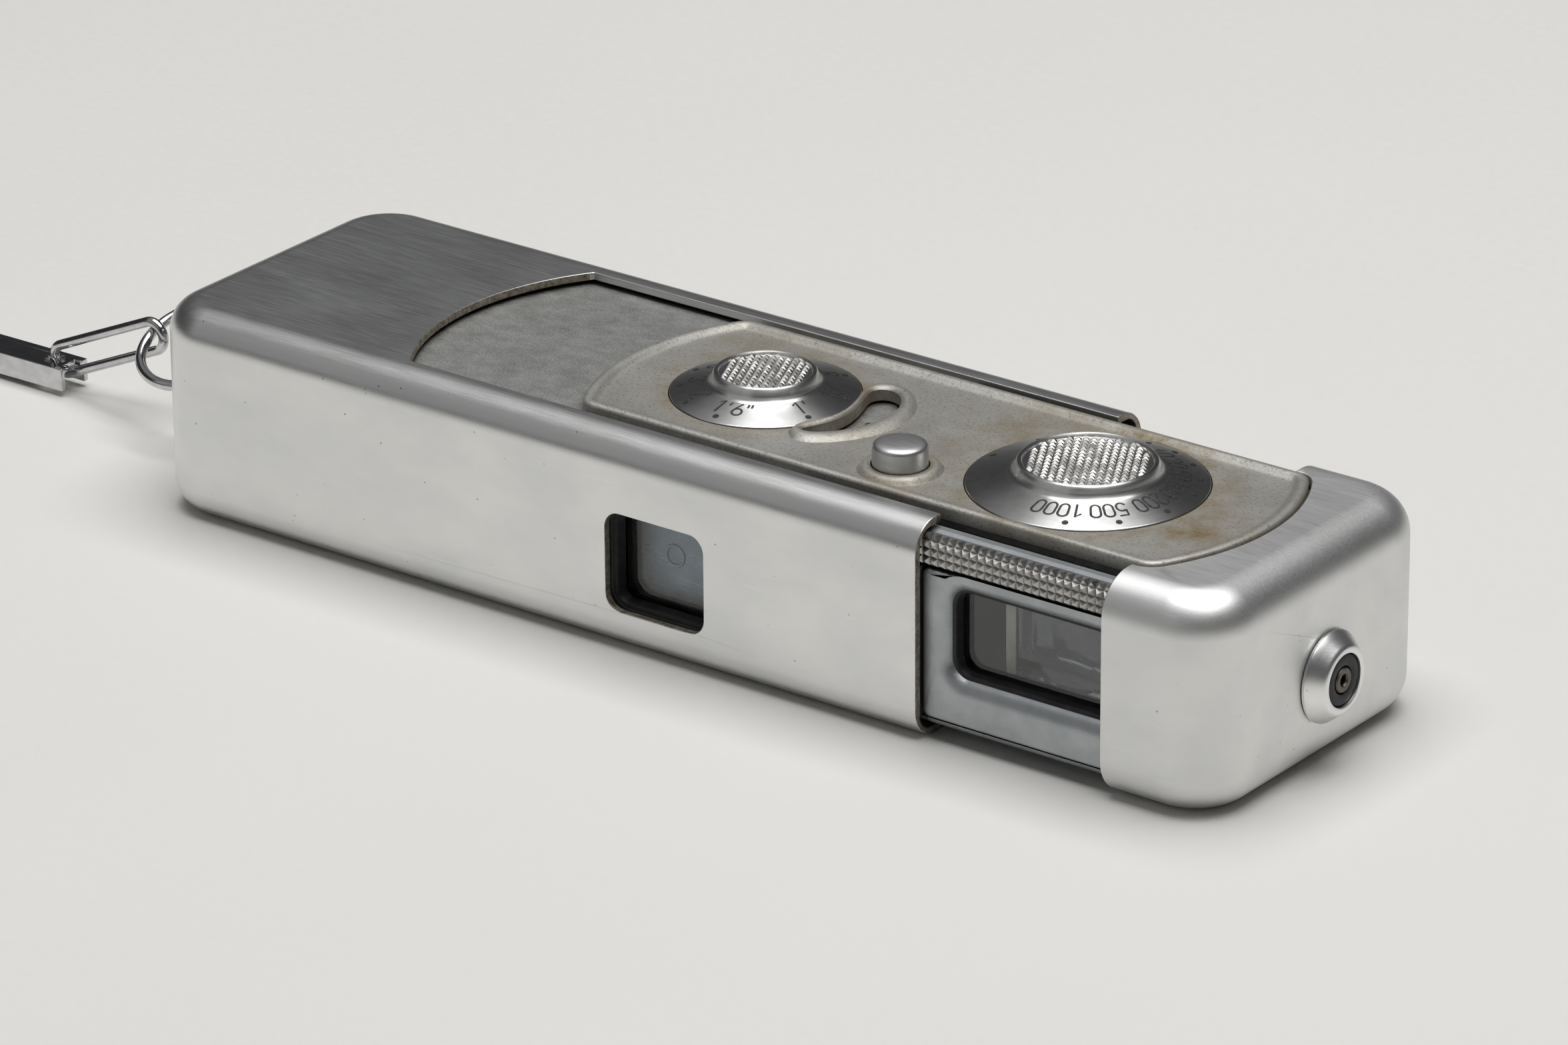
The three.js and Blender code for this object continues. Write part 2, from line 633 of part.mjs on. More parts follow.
class Helix extends THREE.Curve {
  constructor(radius, low, high, turns) {
    super();
    Object.assign(this, { radius, low, high, turns });
  }

  getPoint(t) {
    const angle = 2 * Math.PI * this.turns * t;
    const z = this.low + (this.high - this.low) * t;
    return new THREE.Vector3(this.radius * Math.cos(angle), this.radius * Math.sin(angle), z);
  }
}

function buttonSpring() {
  const high = BUTTON_FOOT - SPRING.wire - SEAT_GAP;
  const coil = new Helix(SPRING.radius, SPRING.low, high, SPRING.turns);
  return wire(coil, SPRING.wire, SPRING.turns * 10, 6).translate(BUTTON.x, BUTTON.y, 0);
}

const LEVER = { x: 9.0, y: BUTTON.y, z: 13.0 };

function releaseLever() {
  const hub = rodY(LEVER.x, LEVER.z, 0.9, LEVER.y - 0.8, LEVER.y + 0.8, 20);
  const tip = BUTTON.x - BUTTON.radius - 0.7;
  const arm = block(LEVER.x, tip, LEVER.y - 0.6, LEVER.y + 0.6, LEVER.z, LEVER.z + 0.6);
  const tail = block(LEVER.x - 0.5, LEVER.x + 0.5, LEVER.y - 0.6, LEVER.y + 0.6, LEVER.z - 3.2, LEVER.z);
  const bore = rodY(LEVER.x, LEVER.z, 0.4, LEVER.y - 2, LEVER.y + 2, 16);
  return cut(join(hub, arm, tail), bore);
}

function leverPin() {
  return rodY(LEVER.x, LEVER.z, 0.33, LEVER.y - 1.4, LEVER.y + 1.4, 16);
}

add('release_button', releaseButton(), 'satin');
add('button_spring', buttonSpring(), 'steel');
add('release_lever', releaseLever(), 'steel');
add('lever_pin', leverPin(), 'steel');

// ---------------------------------------------------------------- lens and shutter
const GLASS_FRONT = -BODY_HALF + BODY_WALL + 0.1;
const FILTER_Y = GLASS_FRONT + 0.7;
const SHUTTER_Y = FILTER_Y + 0.6;
const BARREL_FRONT = -8.9;
const BARREL_BACK = -4.6;
const SHUTTER_TRAVEL = 6.0;
const FILTER_TRAVEL = 6.2;

function lensBarrel() {
  const barrel = rodY(LENS.x, LENS.z, LENS.radius, BARREL_FRONT, BARREL_BACK, 28);
  const bore = rodY(LENS.x, LENS.z, 2.5, BARREL_FRONT - 1, BARREL_BACK + 1, 24);
  const mouth = new THREE.CylinderGeometry(2.4, 3.4, 1.2, 24).translate(LENS.x, BARREL_FRONT + 0.5, LENS.z);
  const follower = block(LENS.x - 0.5, LENS.x + 0.5, -5.6, BARREL_BACK, LENS.z, LENS.z + 5.2);
  return join(cut(barrel, bore, mouth), cut(follower, rodY(LENS.x, LENS.z, 3.0, -20, 0, 20)));
}

// lens element: two spherical faces given by how far each bulges at the axis
function lensElement(y, thickness, frontBulge, backBulge, radius = 2.42) {
  const steps = 4;
  const profile = [];
  for (let i = 0; i <= steps; i += 1) {
    const r = (radius * i) / steps;
    profile.push([r, -thickness / 2 - frontBulge * (1 - (r / radius) ** 2)]);
  }
  for (let i = steps; i >= 0; i -= 1) {
    const r = (radius * i) / steps;
    profile.push([r, thickness / 2 + backBulge * (1 - (r / radius) ** 2)]);
  }
  const points = profile.map(([r, z]) => new THREE.Vector2(r, z));
  return new THREE.LatheGeometry(points, 20).translate(LENS.x, y, LENS.z);
}

function windowGlass() {
  const plan = windowPlan(LENS_WINDOW, 0.6);
  return prismY(plan, GLASS_FRONT, GLASS_FRONT + 0.5);
}

function lensBoard() {
  const board = block(-9.5, 22.0, -6.5, -5.9, DOOR_TOP + 0.3, 12.2);
  const barrelHole = rodY(LENS.x, LENS.z, LENS.radius + 0.1, -10, 0, 28);
  const followerSlot = block(LENS.x - 0.8, LENS.x + 0.8, -10, 0, LENS.z, 20);
  const springRoom = post(BUTTON.x, BUTTON.y, 2.0, SPRING.low - 1.6, 20);
  const leverRoom = block(LEVER.x - 1.8, LEVER.x + 1.8, -10, 0, 8.2, 20);
  return cut(board, barrelHole, followerSlot, springRoom, leverRoom);
}

// closed at rest: the ring mark lies on the lens axis, and the exposing hole waits beside it
function shutterBlade() {
  const plan = roundedRectangle(LENS.x - 3.9, LENS.x + 10.8, LENS.z - 4.3, LENS.z + 3.9, 2.2);
  const hole = rodY(LENS.x + SHUTTER_TRAVEL, LENS.z, 2.4, -20, 0, 24);
  const ring = new THREE.TorusGeometry(0.78, 0.2, 6, 20).rotateX(Math.PI / 2);
  const blade = prismY(plan, SHUTTER_Y, SHUTTER_Y + 0.3);
  return join(cut(blade, hole), ring.translate(LENS.x, SHUTTER_Y + 0.1, LENS.z + 0.2));
}

add('lens_window_glass', windowGlass(), 'glass');
add('lens_barrel', lensBarrel(), 'dark');
add('lens_element_front', lensElement(-7.8, 0.5, 0.35, 0.1), 'glass');
add('lens_element_middle', lensElement(-6.6, 0.6, -0.15, -0.15), 'glass');
add('lens_element_rear', lensElement(-5.4, 0.55, 0.15, 0.35), 'glass');
add('lens_board', lensBoard(), 'dark');
add('shutter_blade', shutterBlade(), 'steel');

// ---------------------------------------------------------------- filter slide
function filterBarSection(ridges) {
  const r = BODY_EDGE_RADIUS;
  const y = -BODY_HALF;
  const shape = new THREE.Shape();
  const arcSteps = 6;
  shape.moveTo(y + 0.9, FILTER_LOW);
  shape.lineTo(y + ridges, FILTER_LOW);
  shape.lineTo(y, FILTER_LOW + 0.35);
  shape.lineTo(y + ridges, FILTER_LOW + 0.7);
  shape.lineTo(y, FILTER_LOW + 1.05);
  for (let i = 1; i <= arcSteps; i += 1) {
    const t = Math.PI - (Math.PI / 2) * (i / arcSteps) * 0.8;
    const reach = i % 2 === 1 ? r - ridges : r;
    shape.lineTo(y + r + reach * Math.cos(t), FILTER_HIGH - r + reach * Math.sin(t));
  }
  shape.lineTo(y + 0.9, FILTER_HIGH - 0.35);
  return shape;
}

const FILTER_BAR = { left: 12.0, right: 41.0 };
const CARRIER = { left: LENS.x + FILTER_TRAVEL - 3.2, right: LENS.x + FILTER_TRAVEL + 3.4 };

const RIDGE = 0.22;

function filterBar() {
  return prismX(filterBarSection(RIDGE), FILTER_BAR.left, FILTER_BAR.right);
}

// thin plate behind the bar that brings the green glass in front of the lens
function filterCarrier() {
  const high = LEDGE.low - 0.1;
  const plate = block(CARRIER.left, CARRIER.right, FILTER_Y, FILTER_Y + 0.4, LENS.z - 3.3, LENS.z + 3.3);
  const arm = block(CARRIER.right - 4, 16.0, FILTER_Y, FILTER_Y + 0.4, LENS.z + 2.4, high);
  const tab = block(FILTER_BAR.left + 0.5, 16.0, -BODY_HALF + 0.95, FILTER_Y + 0.4, high - 0.4, high);
  const seat = rodY(LENS.x + FILTER_TRAVEL, LENS.z, 2.6, -20, 0, 24);
  return cut(join(plate, arm, tab), seat);
}

function greenFilter() {
  return rodY(LENS.x + FILTER_TRAVEL, LENS.z, 2.53, FILTER_Y + 0.03, FILTER_Y + 0.37, 24);
}

add('filter_bar', filterBar(), 'bright');
add('filter_carrier', filterCarrier(), 'dark');
add('green_filter', greenFilter(), 'green');

// ---------------------------------------------------------------- film path
function filmGate() {
  const plate = block(-9.5, 8.5, FILM_GATE_Y, FILM_GATE_Y + 0.6, DOOR_TOP + 0.3, 12.2);
  const frame = block(LENS.x - 5.5, LENS.x + 5.5, 0, 10, LENS.z - 4.0, LENS.z + 4.0);
  return cut(plate, frame);
}

function chamberTube({ x, y }) {
  const tube = post(x, y, CHAMBER_RADIUS, CHAMBER_LOW, CHAMBER_HIGH, 24);
  const hollow = post(x, y, CHAMBER_RADIUS - 0.5, CHAMBER_LOW - 1, CHAMBER_HIGH - 0.5, 20);
  const shaftHole = post(x, y, 1.3, CHAMBER_LOW, CHAMBER_HIGH + 1, 20);
  return cut(tube, hollow, shaftHole);
}

function filmCassette() {
  const bridge = block(SPOOL_TAKE.x, SPOOL_FEED.x, 10.1, 10.7, CHAMBER_LOW, CHAMBER_HIGH);
  const rooms = [SPOOL_TAKE, SPOOL_FEED].map(({ x, y }) => (
    post(x, y, CHAMBER_RADIUS - 0.5, CHAMBER_LOW - 1, CHAMBER_HIGH - 0.5, 20)
  ));
  const slit = block(SPOOL_TAKE.x + 3, SPOOL_FEED.x - 3, 5.7, 6.5, CHAMBER_LOW - 1, CHAMBER_HIGH - 1);
  const tubes = join(chamberTube(SPOOL_TAKE), chamberTube(SPOOL_FEED), bridge);
  return cut(tubes, ...rooms, slit);
}

function spool({ x, y }, shaftTop) {
  const low = CHAMBER_LOW + 0.1;
  const high = CHAMBER_HIGH - 0.7;
  return turned([
    [0, low],
    [3.3, low],
    [3.3, low + 0.4],
    [1.6, low + 0.4],
    [1.6, high - 0.4],
    [3.3, high - 0.4],
    [3.3, high],
    [0.9, high],
    [0.9, shaftTop],
    [0, shaftTop],
  ], 18).translate(x, y, 0);
}

function pressurePlate() {
  const plate = block(LENS.x - 6, LENS.x + 6, 6.5, 7.0, LENS.z - 4.4, LENS.z + 4.4);
  const relief = block(LENS.x - 4, LENS.x + 4, 6.8, 8, LENS.z - 3, LENS.z + 3);
  return cut(plate, relief);
}

// bowed leaf that backs the pressure plate
function pressureSpring() {
  const shape = new THREE.Shape();
  const steps = 12;
  const bow = (s) => 9.4 - 1.2 * Math.sin(Math.PI * s);
  for (let i = 0; i <= steps; i += 1) {
    const s = i / steps;
    const x = LENS.x - 5.5 + 11 * s;
    if (i === 0) shape.moveTo(x, bow(s));
    else shape.lineTo(x, bow(s));
  }
  for (let i = steps; i >= 0; i -= 1) {
    const s = i / steps;
    shape.lineTo(LENS.x - 5.5 + 11 * s, bow(s) + 0.25);
  }
  return prism(shape, LENS.z - 1.5, LENS.z + 1.5);
}

function filmStrip() {
  return block(SPOOL_TAKE.x + 4.7, SPOOL_FEED.x - 4.7, 5.95, 6.15, LENS.z - 4.6, LENS.z + 4.4);
}

add('film_gate', filmGate(), 'dark');
add('film_cassette', filmCassette(), 'dark');
add('film_strip', filmStrip(), 'film');
add('take_up_spool', spool(SPOOL_TAKE, GEAR_LOW - 0.05), 'dark');
add('feed_spool', spool(SPOOL_FEED, CHAMBER_HIGH - 0.1), 'dark');
add('pressure_plate', pressurePlate(), 'steel');
add('pressure_spring', pressureSpring(), 'steel');

// ---------------------------------------------------------------- advance gears
function gearPlan(teeth, phase) {
  const r = (GEAR_MODULE * teeth) / 2;
  const pitch = (2 * Math.PI) / teeth;
  const tip = r + 0.38;
  const root = r - 0.52;
  const shape = new THREE.Shape();
  for (let i = 0; i < teeth; i += 1) {
    const middle = phase + i * pitch;
    const corners = [
      [root, -0.3],
      [tip, -0.1],
      [tip, 0.1],
      [root, 0.3],
    ];
    corners.forEach(([radius, share], k) => {
      const t = middle + share * pitch;
      if (i === 0 && k === 0) shape.moveTo(radius * Math.cos(t), radius * Math.sin(t));
      else shape.lineTo(radius * Math.cos(t), radius * Math.sin(t));
    });
  }
  return shape;
}

// the drive gear's teeth fall in the pinion's gaps on the line between the two centres
function driveGearPhase() {
  const lineAngle = Math.atan2(SPOOL_TAKE.y - PINION.y, SPOOL_TAKE.x - PINION.x);
  const pinionPitch = (2 * Math.PI) / PINION_TEETH;
  const fromLine = (Math.PI / 2 - lineAngle) % pinionPitch;
  const matching = (-fromLine * PINION_TEETH) / DRIVE_TEETH;
  return lineAngle + Math.PI + matching + Math.PI / DRIVE_TEETH;
}

function advancePinion() {
  const wheel = prism(gearPlan(PINION_TEETH, Math.PI / 2), GEAR_LOW, GEAR_HIGH);
  const shaft = post(0, 0, 0.8, GEAR_LOW - 0.4, GEAR_HIGH + 1.0, 20);
  return join(wheel, shaft).translate(PINION.x, PINION.y, 0);
}

function driveGear() {
  const wheel = prism(gearPlan(DRIVE_TEETH, driveGearPhase()), GEAR_LOW, GEAR_HIGH);
  const shaft = post(0, 0, 0.9, GEAR_LOW, GEAR_HIGH + 1.0, 20);
  return join(wheel, shaft).translate(SPOOL_TAKE.x, SPOOL_TAKE.y, 0);
}

add('advance_pinion', advancePinion(), 'brass');
add('drive_gear', driveGear(), 'brass');

// ---------------------------------------------------------------- speed governor
const GOVERNOR = { x: 15.0, z: 5.2 };
const RETARD = { x: 19.6, z: 11.0 };

function governorWheel() {
  const teeth = 18;
  const shape = new THREE.Shape();
  for (let i = 0; i < teeth; i += 1) {
    const t = (2 * Math.PI * i) / teeth;
    const next = (2 * Math.PI * (i + 0.25)) / teeth;
    if (i === 0) shape.moveTo(2.1, 0);
    else shape.lineTo(2.1 * Math.cos(t), 2.1 * Math.sin(t));
    shape.lineTo(2.6 * Math.cos(next), 2.6 * Math.sin(next));
  }
  const wheel = prismY(shape, -8.6, -8.1);
  const hub = rodY(0, 0, 0.8, -9.0, -6.6, 20);
  return join(wheel, hub).translate(GOVERNOR.x, 0, GOVERNOR.z);
}

function retardLever() {
  const hub = rodY(RETARD.x, RETARD.z, 0.8, -8.9, -6.7, 20);
  const arm = block(RETARD.x - 0.4, RETARD.x + 0.4, -8.5, -7.9, RETARD.z - 4.6, RETARD.z);
  const pallet = block(RETARD.x - 1.0, RETARD.x + 0.4, -8.5, -7.9, RETARD.z - 5.2, RETARD.z - 4.5);
  return join(hub, arm, pallet);
}

add('governor_wheel', governorWheel(), 'brass');
add('retard_lever', retardLever(), 'steel');

// ---------------------------------------------------------------- viewfinder
const BEZEL = { left: 22.65, right: 40.5, low: DOOR_TOP + SEAT_GAP, high: FILTER_LOW - 0.2 };

function bezelBlock(y0, y1, high) {
  const front = y0 < 0 ? y0 : y1;
  const inward = y0 < 0 ? 1 : -1;
  const shape = new THREE.Shape();
  shape.moveTo(front + inward * 0.25, BEZEL.low);
  shape.lineTo(front, BEZEL.low + 0.3);
  shape.lineTo(front, high);
  shape.lineTo(front + inward * 1.5, high);
  shape.lineTo(front + inward * 1.5, BEZEL.low);
  return prismX(shape, BEZEL.left, BEZEL.right);
}

function finderWindowPlan(grow = 0) {
  return roundedRectangle(
    FINDER.left - grow, FINDER.right + grow, FINDER.low - grow, FINDER.high + grow, FINDER.radius + grow,
  );
}

function finderBezel() {
  const body = bezelBlock(-BODY_HALF, -BODY_HALF + 1.5, BEZEL.high);
  const opening = prismY(finderWindowPlan(), -20, 0);
  const dish = prismY(finderWindowPlan(0.8), -BODY_HALF - 1, -BODY_HALF + 0.35);
  return cut(body, opening, dish);
}

function eyepieceBezel() {
  const body = bezelBlock(BODY_HALF - 1.5, BODY_HALF, EYE_TOP - SEAT_GAP);
  const opening = prismY(roundedRectangle(28.6, 34.6, 6.2, 11.0, 1.2), 0, 20);
  const dish = prismY(roundedRectangle(27.9, 35.3, 5.5, 11.7, 1.8), BODY_HALF - 0.5, 20);
  return cut(body, opening, dish);
}

function finderTunnel() {
  const outer = block(24.4, 39.6, -10.2, 10.2, 4.5, 12.5);
  const inner = block(24.9, 39.1, -11, 11, 5.0, 12.0);
  return cut(outer, inner);
}

// rectangular lens with one spherical face ground into it
function finderLens(y0, y1, x0, x1, z0, z1, bowl) {
  const body = block(x0, x1, y0, y1, z0, z1);
  const sphere = new THREE.SphereGeometry(bowl, 32, 20);
  return cut(body, sphere.translate((x0 + x1) / 2, y0 + 0.5 - bowl, (z0 + z1) / 2));
}

const EYE_LENS = { left: 28.6, right: 35.4 };

add('finder_bezel', finderBezel(), 'casting');
add('finder_window_glass', prismY(finderWindowPlan(0.2), -11.2, -10.7), 'glass');
add('finder_tunnel', finderTunnel(), 'dark');
add('finder_front_lens', finderLens(-9.4, -7.9, 27.6, 38.9, 5.2, 11.8, 12), 'glass');
add('finder_frame', cut(
  block(26.0, 38.0, -6.6, -6.3, 5.2, 11.8),
  block(27.4, 36.6, -8, -5, 6.2, 10.8),
), 'bright');
add('finder_eye_lens', finderLens(8.2, 9.4, EYE_LENS.left, EYE_LENS.right, 5.4, 11.6, 14), 'glass');
add('eyepiece_bezel', eyepieceBezel(), 'casting');
add('eyepiece_glass', block(28.3, 34.9, 10.6, 11.15, 5.9, 11.3), 'glass');

// ---------------------------------------------------------------- end cap and flash socket
function endCap() {
  const outer = slab(CAP_MOUTH - 14, RIGHT, HALF_WIDTH, 0, HEIGHT, PLAN_CORNER_RADIUS, CAP_EDGE_RADIUS);
  const inner = slab(
    CAP_MOUTH - 16,
    RIGHT - CAP_WALL,
    HALF_WIDTH - CAP_WALL,
    CAP_WALL,
    HEIGHT - CAP_WALL,
    PLAN_CORNER_RADIUS - CAP_WALL,
    BODY_EDGE_RADIUS - 0.2,
  );
  const beforeMouth = block(CAP_MOUTH - 30, CAP_MOUTH, -20, 20, -5, 25);
  const panelSeat = prism(panelPlan(-0.2), HEIGHT - 1.6, HEIGHT + 4, 12);
  const socketHole = rodX(SOCKET.y, SOCKET.z, SOCKET.face + 0.05, 40, 60);
  return cut(outer, inner, beforeMouth, panelSeat, socketHole);
}

function socketBoss() {
  const { base, face, length } = SOCKET;
  const boss = turned([
    [1.95, 0.05],
    [base, 0.05],
    [base, 0.25],
    [base - 0.35, 0.7],
    [face + 0.1, length],
    [1.95, length],
    [1.95, 0.05],
  ], 30);
  const bush = turned([
    [1.95, -2.6],
    [face - 0.05, -2.6],
    [face - 0.05, 0.1],
    [1.95, 0.1],
    [1.95, -2.6],
  ], 30);
  return join(boss, bush).rotateY(Math.PI / 2).translate(RIGHT, SOCKET.y, SOCKET.z);
}

function socketInsulator() {
  const { length } = SOCKET;
  const ring = turned([
    [0.95, -2.4],
    [1.9, -2.4],
    [1.9, length - 0.15],
    [0.95, length - 0.15],
    [0.95, -2.4],
  ], 24);
  return ring.rotateY(Math.PI / 2).translate(RIGHT, SOCKET.y, SOCKET.z);
}

function socketContact() {
  const { length } = SOCKET;
  const tube = turned([
    [0.4, -2.0],
    [0.9, -2.0],
    [0.9, length - 0.05],
    [0.4, length - 0.05],
    [0.4, -2.0],
  ], 18);
  return tube.rotateY(Math.PI / 2).translate(RIGHT, SOCKET.y, SOCKET.z);
}

add('end_cap', endCap(), 'satin');
add('socket_boss', socketBoss(), 'bright');
add('socket_insulator', socketInsulator(), 'dark');
add('socket_contact', socketContact(), 'steel');

export default object;
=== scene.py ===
"""Subminiature camera drawn open: finer visible pieces and materials over the CAD frame."""
import json
import math
import random

import bmesh
import bpy
from mathutils import Matrix, Vector


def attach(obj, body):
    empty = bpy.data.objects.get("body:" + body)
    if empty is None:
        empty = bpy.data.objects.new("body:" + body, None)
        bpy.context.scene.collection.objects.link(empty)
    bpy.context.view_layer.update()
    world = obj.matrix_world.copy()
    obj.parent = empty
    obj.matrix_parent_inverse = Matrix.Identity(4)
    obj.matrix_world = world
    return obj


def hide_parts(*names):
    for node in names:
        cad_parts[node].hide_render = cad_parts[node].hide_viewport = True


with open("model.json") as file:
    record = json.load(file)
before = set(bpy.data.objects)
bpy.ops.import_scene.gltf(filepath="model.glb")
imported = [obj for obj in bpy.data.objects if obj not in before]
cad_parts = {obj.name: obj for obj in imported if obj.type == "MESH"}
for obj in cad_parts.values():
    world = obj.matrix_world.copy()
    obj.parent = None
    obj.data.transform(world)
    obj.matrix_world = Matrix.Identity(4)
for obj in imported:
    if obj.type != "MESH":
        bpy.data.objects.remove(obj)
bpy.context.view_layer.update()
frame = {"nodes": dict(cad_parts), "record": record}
random.seed(7)

MM = 0.001
PI = math.pi

# sizes in millimetres, as the frame has them
LEFT, RIGHT = -47.9, 47.9
HALF, HEIGHT = 13.7, 16.4
WALL, CAP_WALL = 0.6, 0.8
PLAN_CORNER = 5.0
SLEEVE_EDGE, CAP_EDGE = 2.4, 3.0
MOUTH, CAP_MOUTH = 22.8, 38.4
BODY_HALF = 12.8
PANEL_SEAT, PANEL_FIELD = 15.55, 16.25
DIAL_RIM = 16.35
FOCUS = {"x": -0.5, "rim": 6.9, "knob": 3.75, "rise": 0.75}
SPEED = {"x": 27.7, "rim": 8.6, "knob": 5.3, "rise": 0.8}
BUTTON = {"x": 15.7, "y": -5.75, "r": 2.0, "top": 18.3}
SOCKET_Z = 6.9
STUD_EYE, STUD_Z = -50.2, 7.0
RING_RADIUS, RING_WIRE, RING_ROLL, RING_DROOP = 4.5, 0.42, 0.42, 0.02
LINK_LENGTH, LINK_HEIGHT, LINK_WIRE, LINK_TILT, LINK_LIFT = 12.2, 3.1, 0.4, 0.42, 0.2
BAR_LENGTH, BAR_WIDTH, BAR_THICK, BAR_WALL, BAR_TILT = 14.0, 3.0, 1.8, 0.4, 0.01
BAR_HOLE = 1.9  # from the bar's end to the middle of its hole

# rounded openings in a side wall: X from and to, Z from and to, corner radius
LENS_OPENING = (-4.55, 4.25, 3.15, 10.75, 1.3)
FINDER_OPENING = (25.1, 38.9, 5.4, 11.7, 1.2)
EYE_OPENING = (28.6, 34.6, 6.2, 11.0, 1.2)


# ---- mesh tools
def new_mesh(name, points, faces):
    """Mesh object from points in millimetres."""
    mesh = bpy.data.meshes.new(name)
    mesh.from_pydata([(x * MM, y * MM, z * MM) for x, y, z in points], [], faces)
    mesh.validate()
    obj = bpy.data.objects.new(name, mesh)
    bpy.context.scene.collection.objects.link(obj)
    return obj


def loft(name, rings, cyclic=False):
    """Skin over rings of equal length; the ends are capped, or the last ring joins the first."""
    n = len(rings[0])
    count = len(rings)
    points = [p for ring in rings for p in ring]
    faces = []
    for i in range(count if cyclic else count - 1):
        a, b = i * n, ((i + 1) % count) * n
        for k in range(n):
            m = (k + 1) % n
            faces.append((a + k, a + m, b + m, b + k))
    if not cyclic:
        faces.append(tuple(reversed(range(n))))
        faces.append(tuple(range((count - 1) * n, count * n)))
    return new_mesh(name, points, faces)


def corner_loop(x0, x1, y0, y1, r, steps):
    """Counterclockwise rounded rectangle with the same number of points whatever its size."""
    corners = (
        (x1 - r, y0 + r, -PI / 2),
        (x1 - r, y1 - r, 0),
        (x0 + r, y1 - r, PI / 2),
        (x0 + r, y0 + r, PI),
    )
    loop = []
    for cx, cy, start in corners:
        for i in range(steps + 1):
            t = start + PI / 2 * i / steps
            loop.append((cx + r * math.cos(t), cy + r * math.sin(t)))
    return loop


def grown(opening, grow, steps=10):
    """Outline of an opening, moved outwards by grow."""
    x0, x1, z0, z1, r = opening
    return corner_loop(x0 - grow, x1 + grow, z0 - grow, z1 + grow, r + grow, steps)


def slab(name, x0, x1, half, z0, z1, corner, edge, corner_steps=16, edge_steps=12):
    """Rounded box: corner is its radius in plan, edge the radius of its upper and lower edges."""
    quarter = [PI / 2 * k / edge_steps for k in range(edge_steps + 1)]
    levels = [(edge * (1 - math.sin(t)), z0 + edge * (1 - math.cos(t))) for t in quarter]
    levels += [(edge * (1 - math.cos(t)), z1 - edge * (1 - math.sin(t))) for t in quarter]
    rings = []
    for inset, z in levels:
        plan = corner_loop(x0 + inset, x1 - inset, inset - half, half - inset, corner - inset, corner_steps)
        rings.append([(x, y, z) for x, y in plan])
    return loft(name, rings)


def prism(name, plan, z0, z1):
    return loft(name, [[(x, y, z0) for x, y in plan], [(x, y, z1) for x, y in plan]])


def prism_y(name, plan, y0, y1):
    """Prism of a plan in X and Z, pushed along Y."""
    return loft(name, [[(x, y1, z) for x, z in plan], [(x, y0, z) for x, z in plan]])


def circle(x, y, r, steps=96):
    turn = [2 * PI * i / steps for i in range(steps)]
    return [(x + r * math.cos(t), y + r * math.sin(t)) for t in turn]


def block(name, x0, x1, y0, y1, z0, z1):
    return prism(name, [(x0, y0), (x1, y0), (x1, y1), (x0, y1)], z0, z1)


def lathe(name, profile, place_at, axis="Z", steps=128):
    """Solid of revolution of (radius, height) points about Z or X; a radius of 0 closes it on the axis."""
    points, faces, rows = [], [], []
    for r, h in profile:
        first = len(points)
        points += [(x, y, h) for x, y in circle(0, 0, r, steps)] if r else [(0, 0, h)]
        rows.append(list(range(first, len(points))))
    hollow = profile[0][0] != 0
    following = rows[1:] + rows[:1] if hollow else rows[1:]
    for a, b in zip(rows, following):
        for i in range(steps):
            j = (i + 1) % steps
            if len(a) == 1:
                faces.append((a[0], b[j], b[i]))
            elif len(b) == 1:
                faces.append((a[i], a[j], b[0]))
            else:
                faces.append((a[i], a[j], b[j], b[i]))
    if axis == "X":
        points = [(z, y, -x) for x, y, z in points]
    px, py, pz = place_at
    return new_mesh(name, [(x + px, y + py, z + pz) for x, y, z in points], faces)


def bake(obj):
    """Puts the result of the modifiers into the mesh."""
    graph = bpy.context.evaluated_depsgraph_get()
    mesh = bpy.data.meshes.new_from_object(obj.evaluated_get(graph))
    obj.modifiers.clear()
    obj.data = mesh
    return obj


def fix_normals(obj):
    bm = bmesh.new()
    bm.from_mesh(obj.data)
    bmesh.ops.recalc_face_normals(bm, faces=bm.faces)
    bm.to_mesh(obj.data)
    bm.free()
    return obj


def divide(obj, xs, ys):
    """Cuts the mesh along upright planes, so that no flat face has a hole wholly inside it."""
    bm = bmesh.new()
    bm.from_mesh(obj.data)
    for values, normal in ((xs, (1, 0, 0)), (ys, (0, 1, 0))):
        for value in values:
            point = tuple(value * MM * c for c in normal)
            everything = bm.verts[:] + bm.edges[:] + bm.faces[:]
            bmesh.ops.bisect_plane(bm, geom=everything, dist=1e-7, plane_co=point, plane_no=normal)
    bm.to_mesh(obj.data)
    bm.free()
    return obj


def combine(obj, operation, *others):
    """Boolean of the object with each of the others, which are used up."""
    for other in others:
        fix_normals(other)
        modifier = obj.modifiers.new("combine", "BOOLEAN")
        modifier.operation = operation
        modifier.solver = "MANIFOLD"
        modifier.object = other
    fix_normals(obj)
    bake(obj)
    for other in others:
        bpy.data.objects.remove(other)
    return obj


def cut(obj, *others):
    return combine(obj, "DIFFERENCE", *others)


def join(obj, *others):
    return combine(obj, "UNION", *others)


